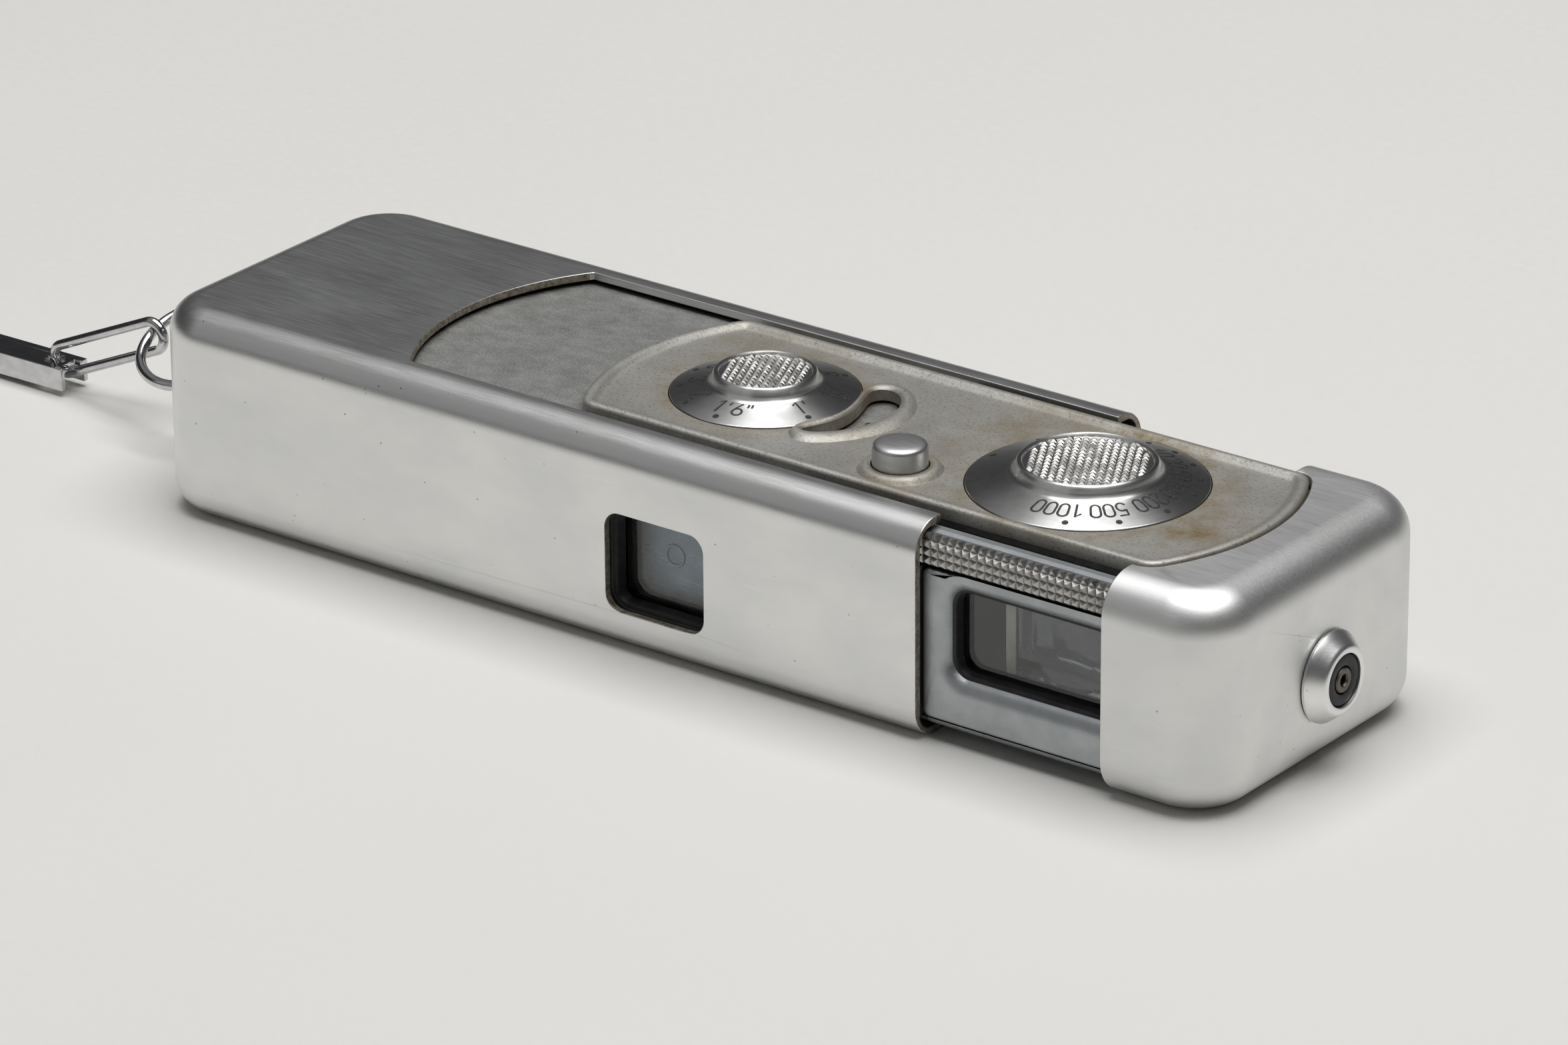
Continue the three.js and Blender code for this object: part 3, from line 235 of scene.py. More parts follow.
def soften(obj, width=0.0, angle=32, segments=2):
    """Smooth shading that keeps edges sharper than angle, with a round of this width on them."""
    rounded_angle, flatness = 60, 90
    triangles = obj.modifiers.new("triangles", "TRIANGULATE")
    triangles.min_vertices = 5
    bake(obj)
    mesh = obj.data
    mesh.shade_smooth()
    mesh.set_sharp_from_angle(angle=math.radians(angle))
    if width:
        bevel = obj.modifiers.new("edge", "BEVEL")
        bevel.width = width * MM
        bevel.segments = segments
        bevel.limit_method = "ANGLE"
        bevel.angle_limit = math.radians(angle)
        bevel.miter_outer = "MITER_ARC"
        bevel.use_clamp_overlap = True
        bake(obj)
        obj.data.shade_smooth()
        obj.data.set_sharp_from_angle(angle=math.radians(rounded_angle))
    weighted = obj.modifiers.new("flat faces", "WEIGHTED_NORMAL")
    weighted.keep_sharp = True
    weighted.weight = flatness
    bake(obj)
    return obj


def offset(loop, distance):
    """Loop moved inwards by distance; counterclockwise loops shrink."""
    least_cosine = 0.35  # keeps sharp corners from running away
    shifted = []
    n = len(loop)
    for i in range(n):
        ax, ay = loop[i - 1]
        bx, by = loop[i]
        cx, cy = loop[(i + 1) % n]
        ux, uy = bx - ax, by - ay
        vx, vy = cx - bx, cy - by
        lu, lv = math.hypot(ux, uy), math.hypot(vx, vy)
        nx, ny = -uy / lu - vy / lv, ux / lu + vx / lv
        ln = math.hypot(nx, ny)
        nx, ny = nx / ln, ny / ln
        scale = 1 / max(least_cosine, nx * -uy / lu + ny * ux / lu)
        shifted.append((bx + nx * distance * scale, by + ny * distance * scale))
    return shifted


# ---- materials
class Nodes:
    """Small helper for writing a material's node tree."""

    def __init__(self, name):
        self.material = bpy.data.materials.new(name)
        self.material.use_nodes = True
        self.tree = self.material.node_tree
        self.shader = self.tree.nodes["Principled BSDF"]
        self.coords = self.add("ShaderNodeTexCoord").outputs["Object"]

    def add(self, kind, **settings):
        node = self.tree.nodes.new(kind)
        for key, value in settings.items():
            setattr(node, key, value)
        return node

    def link(self, source, target):
        """Joins a socket to an input, or sets the input to a plain value."""
        if isinstance(source, (int, float, tuple)):
            target.default_value = source
        else:
            self.tree.links.new(source, target)

    def math(self, operation, a, b=0.0, clamp=False):
        node = self.add("ShaderNodeMath", operation=operation, use_clamp=clamp)
        self.link(a, node.inputs[0])
        self.link(b, node.inputs[1])
        return node.outputs[0]

    def scaled(self, x, y, z, location=(0, 0, 0)):
        """Object coordinates in millimetres times a scale on each axis, moved by location."""
        node = self.add("ShaderNodeMapping", vector_type="POINT")
        node.inputs["Scale"].default_value = (x / MM, y / MM, z / MM)
        node.inputs["Location"].default_value = location
        self.link(self.coords, node.inputs["Vector"])
        return node.outputs[0]

    def noise(self, vector, scale=1.0, detail=3.0, roughness=0.55):
        node = self.add("ShaderNodeTexNoise")
        self.link(vector, node.inputs["Vector"])
        node.inputs["Scale"].default_value = scale
        node.inputs["Detail"].default_value = detail
        node.inputs["Roughness"].default_value = roughness
        return node.outputs["Fac"]

    def spots(self, vector):
        """Distance to the nearest of many scattered points."""
        node = self.add("ShaderNodeTexVoronoi", feature="F1")
        self.link(vector, node.inputs["Vector"])
        node.inputs["Scale"].default_value = 1.0
        return node.outputs["Distance"]

    def remap(self, value, low, high, to_low=0.0, to_high=1.0):
        """Stretches low to high over to_low to to_high, and holds it there."""
        node = self.add("ShaderNodeMapRange", clamp=True)
        self.link(value, node.inputs["Value"])
        node.inputs["From Min"].default_value = low
        node.inputs["From Max"].default_value = high
        node.inputs["To Min"].default_value = to_low
        node.inputs["To Max"].default_value = to_high
        return node.outputs["Result"]

    def mix(self, factor, a, b):
        """Colour a where factor is 0, b where it is 1."""
        node = self.add("ShaderNodeMix", data_type="RGBA")
        self.link(factor, node.inputs[0])
        color_a, color_b, color_out = 6, 7, 2  # the node's colour sockets
        for value, index in ((a, color_a), (b, color_b)):
            if isinstance(value, tuple):
                node.inputs[index].default_value = (*value, 1.0)
            else:
                self.link(value, node.inputs[index])
        return node.outputs[color_out]

    def from_axis(self, x, y):
        """Distance in millimetres from an upright line."""
        node = self.add("ShaderNodeVectorMath", operation="MULTIPLY_ADD")
        self.link(self.coords, node.inputs[0])
        node.inputs[1].default_value = (1 / MM, 1 / MM, 0)
        node.inputs[2].default_value = (-x, -y, 0)
        length = self.add("ShaderNodeVectorMath", operation="LENGTH")
        self.link(node.outputs[0], length.inputs[0])
        return length.outputs["Value"]

    def crevice(self, reach, samples=6):
        """1 in open faces, falling to 0 in narrow corners."""
        node = self.add("ShaderNodeAmbientOcclusion", samples=samples)
        node.inputs["Distance"].default_value = reach * MM
        return node.outputs["AO"]

    def bump(self, height, distance, strength):
        """Normal of a surface that rises by distance millimetres where height is 1."""
        node = self.add("ShaderNodeBump")
        self.link(height, node.inputs["Height"])
        node.inputs["Distance"].default_value = distance * MM
        node.inputs["Strength"].default_value = strength
        return node.outputs["Normal"]

    def finish(self, color, roughness, metallic, normal, **values):
        self.link(color, self.shader.inputs["Base Color"])
        self.link(roughness, self.shader.inputs["Roughness"])
        self.shader.inputs["Metallic"].default_value = metallic
        self.link(normal, self.shader.inputs["Normal"])
        for key, value in values.items():
            self.shader.inputs[key].default_value = value
        return self.material


def satin_sheet(name, tone, rough):
    """Anodised aluminium sheet: fine blasting, faint lengthwise brushing, pits and hairline scratches."""
    n = Nodes(name)
    grain = n.noise(n.scaled(9, 9, 9), detail=2)
    brushed = n.noise(n.scaled(0.35, 9, 9), detail=4)
    cloud = n.noise(n.scaled(0.12, 0.2, 0.2), detail=3)
    pits = n.remap(n.spots(n.scaled(0.8, 1.1, 1.1)), 0.035, 0.085, 1.0, 0.0)
    keep = n.remap(n.noise(n.scaled(0.5, 0.5, 0.5), detail=1), 0.52, 0.62)
    pits = n.math("MULTIPLY", pits, keep)
    hair = n.remap(n.noise(n.scaled(0.05, 5, 5, (3, 1, 2)), detail=1), 0.715, 0.735)
    scratched = n.remap(n.noise(n.scaled(0.2, 0.5, 0.5, (9, 4, 1)), detail=1), 0.5, 0.6)
    hair = n.math("MULTIPLY", hair, scratched)
    bright, dull = (tone, tone, tone * 0.985), (tone * 0.92, tone * 0.925, tone * 0.92)
    tint = n.mix(n.remap(cloud, 0.35, 0.68), bright, dull)
    tint = n.mix(n.math("MULTIPLY", pits, 0.75), tint, (0.1, 0.09, 0.075))
    tint = n.mix(n.math("MULTIPLY", hair, 0.3), tint, (0.9, 0.9, 0.9))
    streaks = n.remap(brushed, 0.3, 0.7, rough + 0.02, rough + 0.08)
    rough = n.math("ADD", streaks, n.remap(cloud, 0.3, 0.7, -0.02, 0.03))
    height = n.math("ADD", n.math("MULTIPLY", grain, 0.6), n.math("MULTIPLY", brushed, 0.25))
    height = n.math("SUBTRACT", height, n.math("MULTIPLY", pits, 1.5))
    return n.finish(tint, rough, 1.0, n.bump(height, 0.010, 0.5))


def cut_edge():
    """Raw sheet edge, browned with old grease and dust."""
    n = Nodes("sheet_edge")
    patch = n.noise(n.scaled(3, 3, 3), detail=4)
    tint = n.mix(n.remap(patch, 0.35, 0.62), (0.20, 0.165, 0.115), (0.42, 0.39, 0.33))
    return n.finish(tint, n.remap(patch, 0.3, 0.7, 0.45, 0.7), 0.7, n.bump(patch, 0.03, 0.6))


def silvered_panel():
    """Matt silvered casting with brown grime gathered round the dials, and in the corners brown painted shade
    that also stands for grime.
    """
    n = Nodes("silvered_panel")
    grain = n.noise(n.scaled(7, 7, 7), detail=3)
    cloud = n.noise(n.scaled(0.35, 0.35, 0.35), detail=4)
    fine = n.noise(n.scaled(1.6, 1.6, 1.6, (5, 2, 0)), detail=5, roughness=0.7)
    grime_and_painted_shade = n.remap(n.from_axis(FOCUS["x"], 0), FOCUS["rim"], FOCUS["rim"] + 2.6, 0.75, 0.0)
    stains = (
        (SPEED["x"], 0, SPEED["rim"] - 0.6, 4.2, 0.95),
        (BUTTON["x"] + 1.0, BUTTON["y"] - 0.6, 2.9, 2.4, 0.5),
        (8.6, -1.5, 2.4, 2.6, 0.35),
        (37.9, -2.5, 1.6, 4.6, 0.85),
        (18.5, 4.0, 2.0, 6.0, 0.6),
        (-6.0, 6.5, 1.5, 4.5, 0.5),
    )
    for x, y, inner, reach, amount in stains:
        ring = n.remap(n.from_axis(x, y), inner, inner + reach, amount, 0.0)
        grime_and_painted_shade = n.math("MAXIMUM", grime_and_painted_shade, ring)
    # painted shade: ambient occlusion darkens the bead's corners and other narrow corners brown; it stands
    # also for the grime in them
    corner = n.remap(n.crevice(0.9), 0.35, 0.9, 0.75, 0.0)
    grime_and_painted_shade = n.math("MULTIPLY", grime_and_painted_shade, n.remap(cloud, 0.36, 0.66, 0.25, 1.15))
    grime_and_painted_shade = n.math("MULTIPLY", grime_and_painted_shade, n.remap(fine, 0.3, 0.7, 0.45, 1.2))
    grime_and_painted_shade = n.math("ADD", grime_and_painted_shade, n.math("MULTIPLY", corner, n.remap(fine, 0.3, 0.6, 0.3, 1.0)), clamp=True)
    clean = n.mix(n.remap(cloud, 0.3, 0.7), (0.47, 0.462, 0.435), (0.39, 0.38, 0.35))
    specks = n.remap(n.noise(n.scaled(4.5, 4.5, 4.5), detail=2), 0.56, 0.68, 0.0, 0.5)
    clean = n.mix(specks, clean, (0.14, 0.125, 0.1))
    tint = n.mix(grime_and_painted_shade, clean, (0.23, 0.172, 0.085))
    rough = n.math("ADD", 0.5, n.math("MULTIPLY", grime_and_painted_shade, 0.2))
    height = n.math("ADD", grain, n.math("MULTIPLY", fine, 0.7))
    return n.finish(tint, rough, 0.7, n.bump(height, 0.024, 0.7))


def turned_metal(name, x):
    """Lathe-turned aluminium: fine rings about an upright axis at x, with painted shade darkening its narrow
    corners brown.
    """
    n = Nodes(name)
    radius = n.from_axis(x, 0)
    merged = n.add("ShaderNodeCombineXYZ")
    n.link(radius, merged.inputs[0])
    rings = n.noise(merged.outputs[0], scale=14.0, detail=3)
    smear = n.noise(n.scaled(1.2, 1.2, 1.2), detail=4)
    tint = n.mix(n.remap(smear, 0.35, 0.7), (0.76, 0.76, 0.7486), (0.6688, 0.6688, 0.6536))
    # painted shade: ambient occlusion darkens the narrow corners, such as where the flange meets the cone, to
    # a grimy brown
    grime_and_painted_shade = n.remap(n.crevice(0.5), 0.3, 0.8, 0.5, 0.0)
    tint = n.mix(n.math("MULTIPLY", grime_and_painted_shade, smear), tint, (0.12, 0.1, 0.07))
    around = n.add("ShaderNodeTangent", direction_type="RADIAL", axis="Z")
    n.link(around.outputs[0], n.shader.inputs["Tangent"])
    values = {"Anisotropic": 0.7, "Anisotropic Rotation": 0.25}
    return n.finish(tint, n.remap(rings, 0.3, 0.7, 0.26, 0.4), 1.0, n.bump(rings, 0.008, 0.4), **values)


def knurled_metal():
    """Cut diamonds with painted shade and grey dirt between them."""
    n = Nodes("knurled_metal")
    patch = n.noise(n.scaled(1.1, 1.1, 1.1), detail=4)
    fine = n.noise(n.scaled(10, 10, 10), detail=2)
    # painted shade: ambient occlusion darkens the hollows between the diamonds, in patches, to a grey brown
    grime_and_painted_shade = n.remap(n.crevice(0.35, 8), 0.35, 0.85, 0.9, 0.0)
    grime_and_painted_shade = n.math("MULTIPLY", grime_and_painted_shade, n.remap(patch, 0.3, 0.65, 0.4, 1.0))
    tint = n.mix(grime_and_painted_shade, (0.5, 0.4925, 0.475), (0.16, 0.14, 0.11))
    return n.finish(tint, n.remap(patch, 0.3, 0.7, 0.28, 0.45), 1.0, n.bump(fine, 0.008, 0.5))


def mottled_plate():
    """Dull grey plate rubbed by the sleeve, with cloudy stains and painted shade in its corners."""
    n = Nodes("mottled_plate")
    cloud = n.noise(n.scaled(0.55, 0.75, 0.75), detail=6, roughness=0.65)
    grain = n.noise(n.scaled(6, 6, 6), detail=3)
    rubbed = n.noise(n.scaled(0.2, 5, 5), detail=3)
    # painted shade: ambient occlusion darkens the plate dark brown in its corners, where it meets the parts
    # round it
    edge = n.remap(n.crevice(1.0), 0.4, 0.95, 0.8, 0.0)
    tint = n.mix(n.remap(cloud, 0.36, 0.66), (0.52, 0.52, 0.505), (0.38, 0.38, 0.362))
    tint = n.mix(n.math("MULTIPLY", edge, n.remap(cloud, 0.3, 0.6, 0.4, 1.0)), tint, (0.07, 0.055, 0.035))
    height = n.math("ADD", grain, n.math("MULTIPLY", rubbed, 0.5))
    return n.finish(tint, n.remap(grain, 0.3, 0.7, 0.42, 0.56), 0.9, n.bump(height, 0.015, 0.5))


def grey_casting():
    """Bluish grey blasted casting, paler where it is handled, with painted shade darkening its crevices."""
    n = Nodes("grey_casting")
    grain = n.noise(n.scaled(8, 8, 8), detail=3)
    cloud = n.noise(n.scaled(0.5, 0.5, 0.5), detail=4)
    # painted shade: ambient occlusion darkens the crevices nearly black
    grime_and_painted_shade = n.remap(n.crevice(0.5), 0.3, 0.8, 0.7, 0.0)
    tint = n.mix(n.remap(cloud, 0.35, 0.68), (0.46, 0.48, 0.495), (0.38, 0.4, 0.415))
    tint = n.mix(grime_and_painted_shade, tint, (0.06, 0.055, 0.05))
    return n.finish(tint, n.remap(grain, 0.3, 0.7, 0.38, 0.5), 0.9, n.bump(grain, 0.018, 0.6))


def polished_metal(name, tone, rough):
    """Plated and polished, with smears and a few rubbed patches."""
    n = Nodes(name)
    smear = n.noise(n.scaled(0.9, 1.4, 1.4), detail=5)
    fine = n.noise(n.scaled(5, 5, 5), detail=3)
    tint = n.mix(n.remap(smear, 0.4, 0.7), tone, tuple(c * 0.8 for c in tone))
    return n.finish(tint, n.remap(smear, 0.3, 0.75, rough, rough + 0.18), 1.0, n.bump(fine, 0.006, 0.5))


def machined(name, tone, rough=0.3, metallic=1.0, stretch=(1.0, 6.0, 6.0)):
    """Machined or pressed part with fine marks along one way."""
    n = Nodes(name)
    marks = n.noise(n.scaled(*stretch), detail=4)
    patch = n.noise(n.scaled(0.6, 0.6, 0.6), detail=3)
    tint = n.mix(n.remap(patch, 0.35, 0.65), tone, tuple(c * 0.78 for c in tone))
    rough = n.remap(marks, 0.3, 0.7, rough - 0.06, rough + 0.1)
    return n.finish(tint, rough, metallic, n.bump(marks, 0.01, 0.5))


def blackened():
    """Black chemical finish, greyer on rubbed spots, with a little dust."""
    n = Nodes("blackened_metal")
    dust = n.remap(n.spots(n.scaled(1.6, 1.6, 1.6)), 0.03, 0.07, 0.5, 0.0)
    patch = n.noise(n.scaled(1.0, 1.0, 1.0), detail=4)
    tint = n.mix(n.remap(patch, 0.4, 0.7), (0.012, 0.012, 0.014), (0.03, 0.03, 0.032))
    tint = n.mix(n.math("MULTIPLY", dust, patch), tint, (0.35, 0.34, 0.3))
    return n.finish(tint, n.remap(patch, 0.3, 0.7, 0.4, 0.6), 0.2, n.bump(patch, 0.02, 0.4))


def engraving():
    """Black paint in engraved marks, worn thin in places."""
    n = Nodes("engraving_paint")
    wear = n.noise(n.scaled(6, 6, 6), detail=3)
    tint = n.mix(n.remap(wear, 0.6, 0.72), (0.015, 0.015, 0.015), (0.16, 0.155, 0.14))
    return n.finish(tint, n.remap(wear, 0.3, 0.7, 0.45, 0.65), 0.0, n.bump(wear, 0.01, 0.5))


def clear_glass(name, tint):
    """Optical glass with a film of dust and wipe marks."""
    n = Nodes(name)
    smear = n.noise(n.scaled(0.8, 0.8, 1.6), detail=5)
    dust = n.remap(n.spots(n.scaled(1.4, 1.4, 1.4)), 0.02, 0.05, 0.35, 0.0)
    rough = n.math("ADD", n.remap(smear, 0.45, 0.8, 0.0, 0.06), dust)
    color = n.mix(n.remap(smear, 0.4, 0.8), tint, tuple(c * 0.94 for c in tint))
    values = {"Transmission Weight": 1.0, "IOR": 1.5}
    return n.finish(color, rough, 0.0, n.bump(smear, 0.004, 0.3), **values)


def paper_floor():
    """Matt pale card with faint clouds."""
    n = Nodes("pale_table")
    cloud = n.noise(n.scaled(0.012, 0.012, 0.012), detail=3)
    fibre = n.noise(n.scaled(1.2, 1.2, 1.2), detail=4)
    tint = n.mix(n.remap(cloud, 0.3, 0.7), (0.795, 0.785, 0.755), (0.775, 0.765, 0.735))
    return n.finish(tint, n.remap(fibre, 0.3, 0.7, 0.55, 0.7), 0.0, n.bump(fibre, 0.01, 0.2))


SATIN = satin_sheet("satin_aluminium", 0.78, 0.29)
SATIN_CAP = satin_sheet("satin_aluminium_cap", 0.8, 0.4)
EDGE = cut_edge()
PANEL = silvered_panel()
PLATE = mottled_plate()
CASTING = grey_casting()
BRIGHT = polished_metal("bright_metal", (0.72, 0.72, 0.715), 0.1)
CHAIN = polished_metal("chain_plating", (0.62, 0.62, 0.63), 0.08)
KNURL = knurled_metal()
STEEL = machined("steel_parts", (0.55, 0.56, 0.57))
BLADE = machined("blued_blade", (0.17, 0.2, 0.235), 0.3, 1.0, (0.5, 6.0, 9.0))
DARK = blackened()
BRASS = machined("brass_gears", (0.62, 0.42, 0.16), 0.32, 1.0, (5.0, 5.0, 1.0))
INK = engraving()
GLASS = clear_glass("optical_glass", (0.93, 0.96, 0.97))
GREEN = clear_glass("green_filter_glass", (0.2, 0.62, 0.16))
FILM = machined("film_base", (0.06, 0.045, 0.035), 0.2, 0.0, (2.0, 2.0, 2.0))
SLOT_MATERIALS = {
    "satin_aluminium": SATIN,
    "grey_plate": PLATE,
    "silvered_panel": PANEL,
    "bright_metal": BRIGHT,
    "grey_casting": CASTING,
    "steel_parts": STEEL,
    "blackened_metal": DARK,
    "brass_gears": BRASS,
    "optical_glass": GLASS,
    "green_filter_glass": GREEN,
    "film_base": FILM,
}


def paint(obj, *materials):
    """The object's materials, in the order of its faces' material numbers."""
    obj.data.materials.clear()
    for material in materials:
        obj.data.materials.append(material)
    return obj


def place(obj, body, slot, *nodes):
    """Fixes the piece to a body, in place of the CAD nodes that it shows; slot is not used."""
    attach(obj, body)
    if nodes:
        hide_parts(*nodes)
    return obj


# every CAD node first takes the finish of its slot; finer pieces replace the visible ones below
for row in frame["record"]["subparts"]:
    paint(frame["nodes"][row["node"]], SLOT_MATERIALS[row["material_slot"]])


# ---- sleeve
def slot_plan(x1, half=10.7, radius=18.6, centre=-9.4, steps=72):
    """Opening in the sleeve's top: an arc on the left, open to x1 on the right."""
    reach = math.asin(half / radius)
    arc = []
    for i in range(steps + 1):
        t = PI - reach + 2 * reach * i / steps
        arc.append((centre + radius * math.cos(t), radius * math.sin(t)))
    return [(x1, -half), (x1, half)] + arc


def make_sleeve():
    outer = slab("sleeve", LEFT, MOUTH + 12, HALF, 0, HEIGHT, PLAN_CORNER, SLEEVE_EDGE)
    # the inner corners are a little squarer than the sheet is thick, so that the closed body clears them
    inner = slab("tool", LEFT + WALL, MOUTH + 14, HALF - WALL, WALL, HEIGHT - WALL,
                 PLAN_CORNER - 1.1, SLEEVE_EDGE - 1.1)
    beyond = block("tool", MOUTH, MOUTH + 20, -20, 20, -5, 25)
    slot = prism("tool", slot_plan(MOUTH + 5), 8, 20)
    window = prism_y("tool", grown(LENS_OPENING, 0, 12), -16, -10)
    stud = lathe("tool", [(0, -3), (0.85, -3), (0.85, 3), (0, 3)], (LEFT, 0, STUD_Z), "X", 48)
    cut(outer, inner, beyond, slot, window, stud)
    soften(outer, 0.07)
    paint(outer, SATIN, EDGE)
    x0, x1, z0, z1, _ = LENS_OPENING
    slack = 0.15
    for face in outer.data.polygons:
        x, y, z = (c / MM for c in face.center)
        nx, ny, nz = face.normal
        at_mouth = x > MOUTH - 0.12 and nx > 0.5
        in_top = HEIGHT - WALL - 0.02 < z < HEIGHT - 0.02 and abs(nz) < 0.5
        in_front = 0.02 < y + HALF < WALL - 0.02 and abs(ny) < 0.5
        in_slot = in_top and abs(y) < 10.5 and x > -29
        in_window = in_front and x0 - slack < x < x1 + slack and z0 - slack < z < z1 + slack
        if at_mouth or in_slot or in_window:
            face.material_index = 1
    return place(outer, "sleeve", "satin_aluminium", "sleeve_shell")


# ---- end cap
def arc_points(centre, radius, half, steps=40):
    """Points of an arc about a centre on the X axis, from -half to half in Y for a positive radius."""
    reach = math.asin(half / abs(radius))
    turn = [-reach + 2 * reach * i / steps for i in range(steps + 1)]
    return [(centre + radius * math.cos(t), radius * math.sin(t)) for t in turn]


def eased(start, tip, end, steps=7):
    """Points between start and end on the curve that bends at tip."""
    curve = []
    for i in range(1, steps):
        s = i / steps
        shares = (1 - s) ** 2, 2 * s * (1 - s), s * s
        curve.append(tuple(sum(w * c for w, c in zip(shares, axis)) for axis in zip(start, tip, end)))
    return curve


def panel_loop(grow=0.0):
    """Panel outline: an arc at each end and straight sides, with its four corners eased."""
    half, corner, side_steps = 9.8, 0.9, 8
    right_arc = arc_points(25.3, 17.4, half)
    left_arc = arc_points(5.8, -18.25, half)
    loop = []
    for arc, other, side in ((right_arc, left_arc, 1), (left_arc, right_arc, -1)):
        tip, far = arc[-1], other[0]
        kept = [p for p in arc if math.dist(p, arc[0]) > corner and math.dist(p, tip) > corner]
        following = next(p for p in other if math.dist(p, far) > corner)
        end = (tip[0] - side * corner, tip[1])
        begin = (far[0] + side * corner, far[1])
        loop += kept + eased(kept[-1], tip, end) + [end]
        loop += [(end[0] + (begin[0] - end[0]) * i / side_steps, end[1]) for i in range(1, side_steps)]
        loop += [begin] + eased(begin, far, following)
    return offset(loop, -grow) if grow else loop


def make_cap():
    outer = slab("end_cap_shell", CAP_MOUTH - 14, RIGHT, HALF, 0, HEIGHT, PLAN_CORNER, CAP_EDGE, 20, 16)
    inner = slab("tool", CAP_MOUTH - 16, RIGHT - CAP_WALL, HALF - CAP_WALL, CAP_WALL, HEIGHT - CAP_WALL,
                 PLAN_CORNER - CAP_WALL, CAP_EDGE - CAP_WALL)
    before = block("tool", CAP_MOUTH - 30, CAP_MOUTH, -20, 20, -5, 25)
    seat = prism("tool", panel_loop(0.2), HEIGHT - 1.6, HEIGHT + 4)
    hole = lathe("tool", [(0, -8), (2.4, -8), (2.4, 8), (0, 8)], (RIGHT, 0, SOCKET_Z), "X", 64)
    cut(outer, inner, before, seat, hole)
    soften(outer, 0.09, segments=3)
    paint(outer, SATIN_CAP)
    return place(outer, "carriage", "satin_aluminium", "end_cap")


# ---- control panel
# counter opening: angle and radius about the focusing dial of its edge, then of the foot of its bead
COMMA = (
    (-34.0, 7.85, -41.2, 7.9), (-31.4, 8.4, -40.2, 9.0), (-25.9, 8.85, -35.0, 9.9),
    (-17.2, 9.33, -25.0, 10.6), (-8.6, 9.62, -12.0, 11.28), (0.0, 9.86, -1.0, 11.6),
    (7.5, 10.06, 8.5, 11.62), (15.4, 10.12, 17.5, 11.4), (22.6, 10.03, 26.5, 10.98),
    (29.6, 9.7, 36.0, 10.4), (34.4, 9.15, 43.0, 9.5), (36.4, 8.4, 45.5, 8.35),
    (34.8, 7.75, 42.0, 7.35), (30.0, 7.4, 34.0, 6.85), (21.0, 7.28, 22.0, 6.7),
    (10.0, 7.32, 10.0, 6.7), (0.0, 7.44, 0.0, 6.76), (-10.0, 7.52, -10.0, 6.8),
    (-20.0, 7.5, -20.5, 6.62), (-28.0, 7.5, -30.5, 6.52), (-32.4, 7.58, -37.2, 7.0),
)


def through(values, t):
    """Smooth curve that passes from the second to the third of four values as t goes from 0 to 1."""
    a, b, c, d = values
    square_share = (2 * a - 5 * b + 4 * c - d) * t * t
    cube_share = (3 * b - a - 3 * c + d) * t ** 3
    return 0.5 * (2 * b + (c - a) * t + square_share + cube_share)


def comma_loop(spread, steps=5):
    """Smooth closed line between the opening's edge, at spread 0, and the foot of its bead, at 1."""
    knots = []
    for edge_angle, edge_radius, foot_angle, foot_radius in COMMA:
        ends = []
        for angle, radius in ((edge_angle, edge_radius), (foot_angle, foot_radius)):
            t = math.radians(angle)
            ends.append((FOCUS["x"] + radius * math.cos(t), radius * math.sin(t)))
        knots.append(tuple(a + (b - a) * spread for a, b in zip(*ends)))
    loop = []
    n = len(knots)
    for i in range(n):
        near = [knots[(i + k) % n] for k in (-1, 0, 1, 2)]
        for j in range(steps):
            loop.append(tuple(through(axis, j / steps) for axis in zip(*near)))
    return loop


def cone_slope(dial):
    """Rise of the dial's cone for each millimetre inwards."""
    return dial["rise"] / (dial["rim"] - dial["knob"] + 0.1)


def make_panel():
    bead = [(0.0, PANEL_SEAT), (0.0, 16.3), (0.04, 16.43), (0.14, 16.53), (0.3, 16.59), (0.5, 16.6),
            (0.68, 16.56), (0.84, 16.47), (0.98, 16.37), (1.14, 16.29), (1.35, 16.26), (1.7, PANEL_FIELD)]
    outline = panel_loop()
    panel = loft("control_panel_plate", [[(x, y, z) for x, y in offset(outline, d)] for d, z in bead])
    divide(panel, [-8 + 2.9 * i for i in range(17)], [-7.3, -4.9, -2.45, 0.05, 2.45, 4.9, 7.3])
    crest = [(1.0, 15.9), (1.0, 16.24), (0.9, 16.34), (0.76, 16.47), (0.6, 16.56), (0.44, 16.6),
             (0.28, 16.58), (0.12, 16.5), (0.02, 16.38)]
    comma = loft("tool", [[(x, y, z) for x, y in comma_loop(spread)] for spread, z in crest])
    x, y = BUTTON["x"], BUTTON["y"]
    collar = [(0, 15.8), (3.15, 15.8), (3.12, 16.22), (2.98, 16.34), (2.86, 16.5), (2.66, 16.64),
              (2.44, 16.7), (2.26, 16.66), (0, 16.6)]
    join(panel, comma, lathe("tool", collar, (x, y, 0)))
    # the well of the focusing dial follows its cone inwards, so that the comma's bead laps over the rim
    gap, below, above, lap = 0.1, 10, 20, 5.0
    well, floor_z = FOCUS["rim"] + gap, DIAL_RIM + 0.06
    under_bead = [(0, below), (well, below), (well, floor_z),
                  (lap, floor_z + (well - lap) * cone_slope(FOCUS)), (lap, above), (0, above)]
    cut(
        panel,
        lathe("tool", under_bead, (FOCUS["x"], 0, 0)),
        prism("tool", circle(SPEED["x"], 0, SPEED["rim"] + gap, 128), below, above),
        prism("tool", comma_loop(0.0), below, above),
        prism("tool", circle(x, y, BUTTON["r"] + 0.12, 64), below, above),
    )
    soften(panel, 0, 28)
    paint(panel, PANEL)
    return place(panel, "carriage", "silvered_panel", "control_panel")


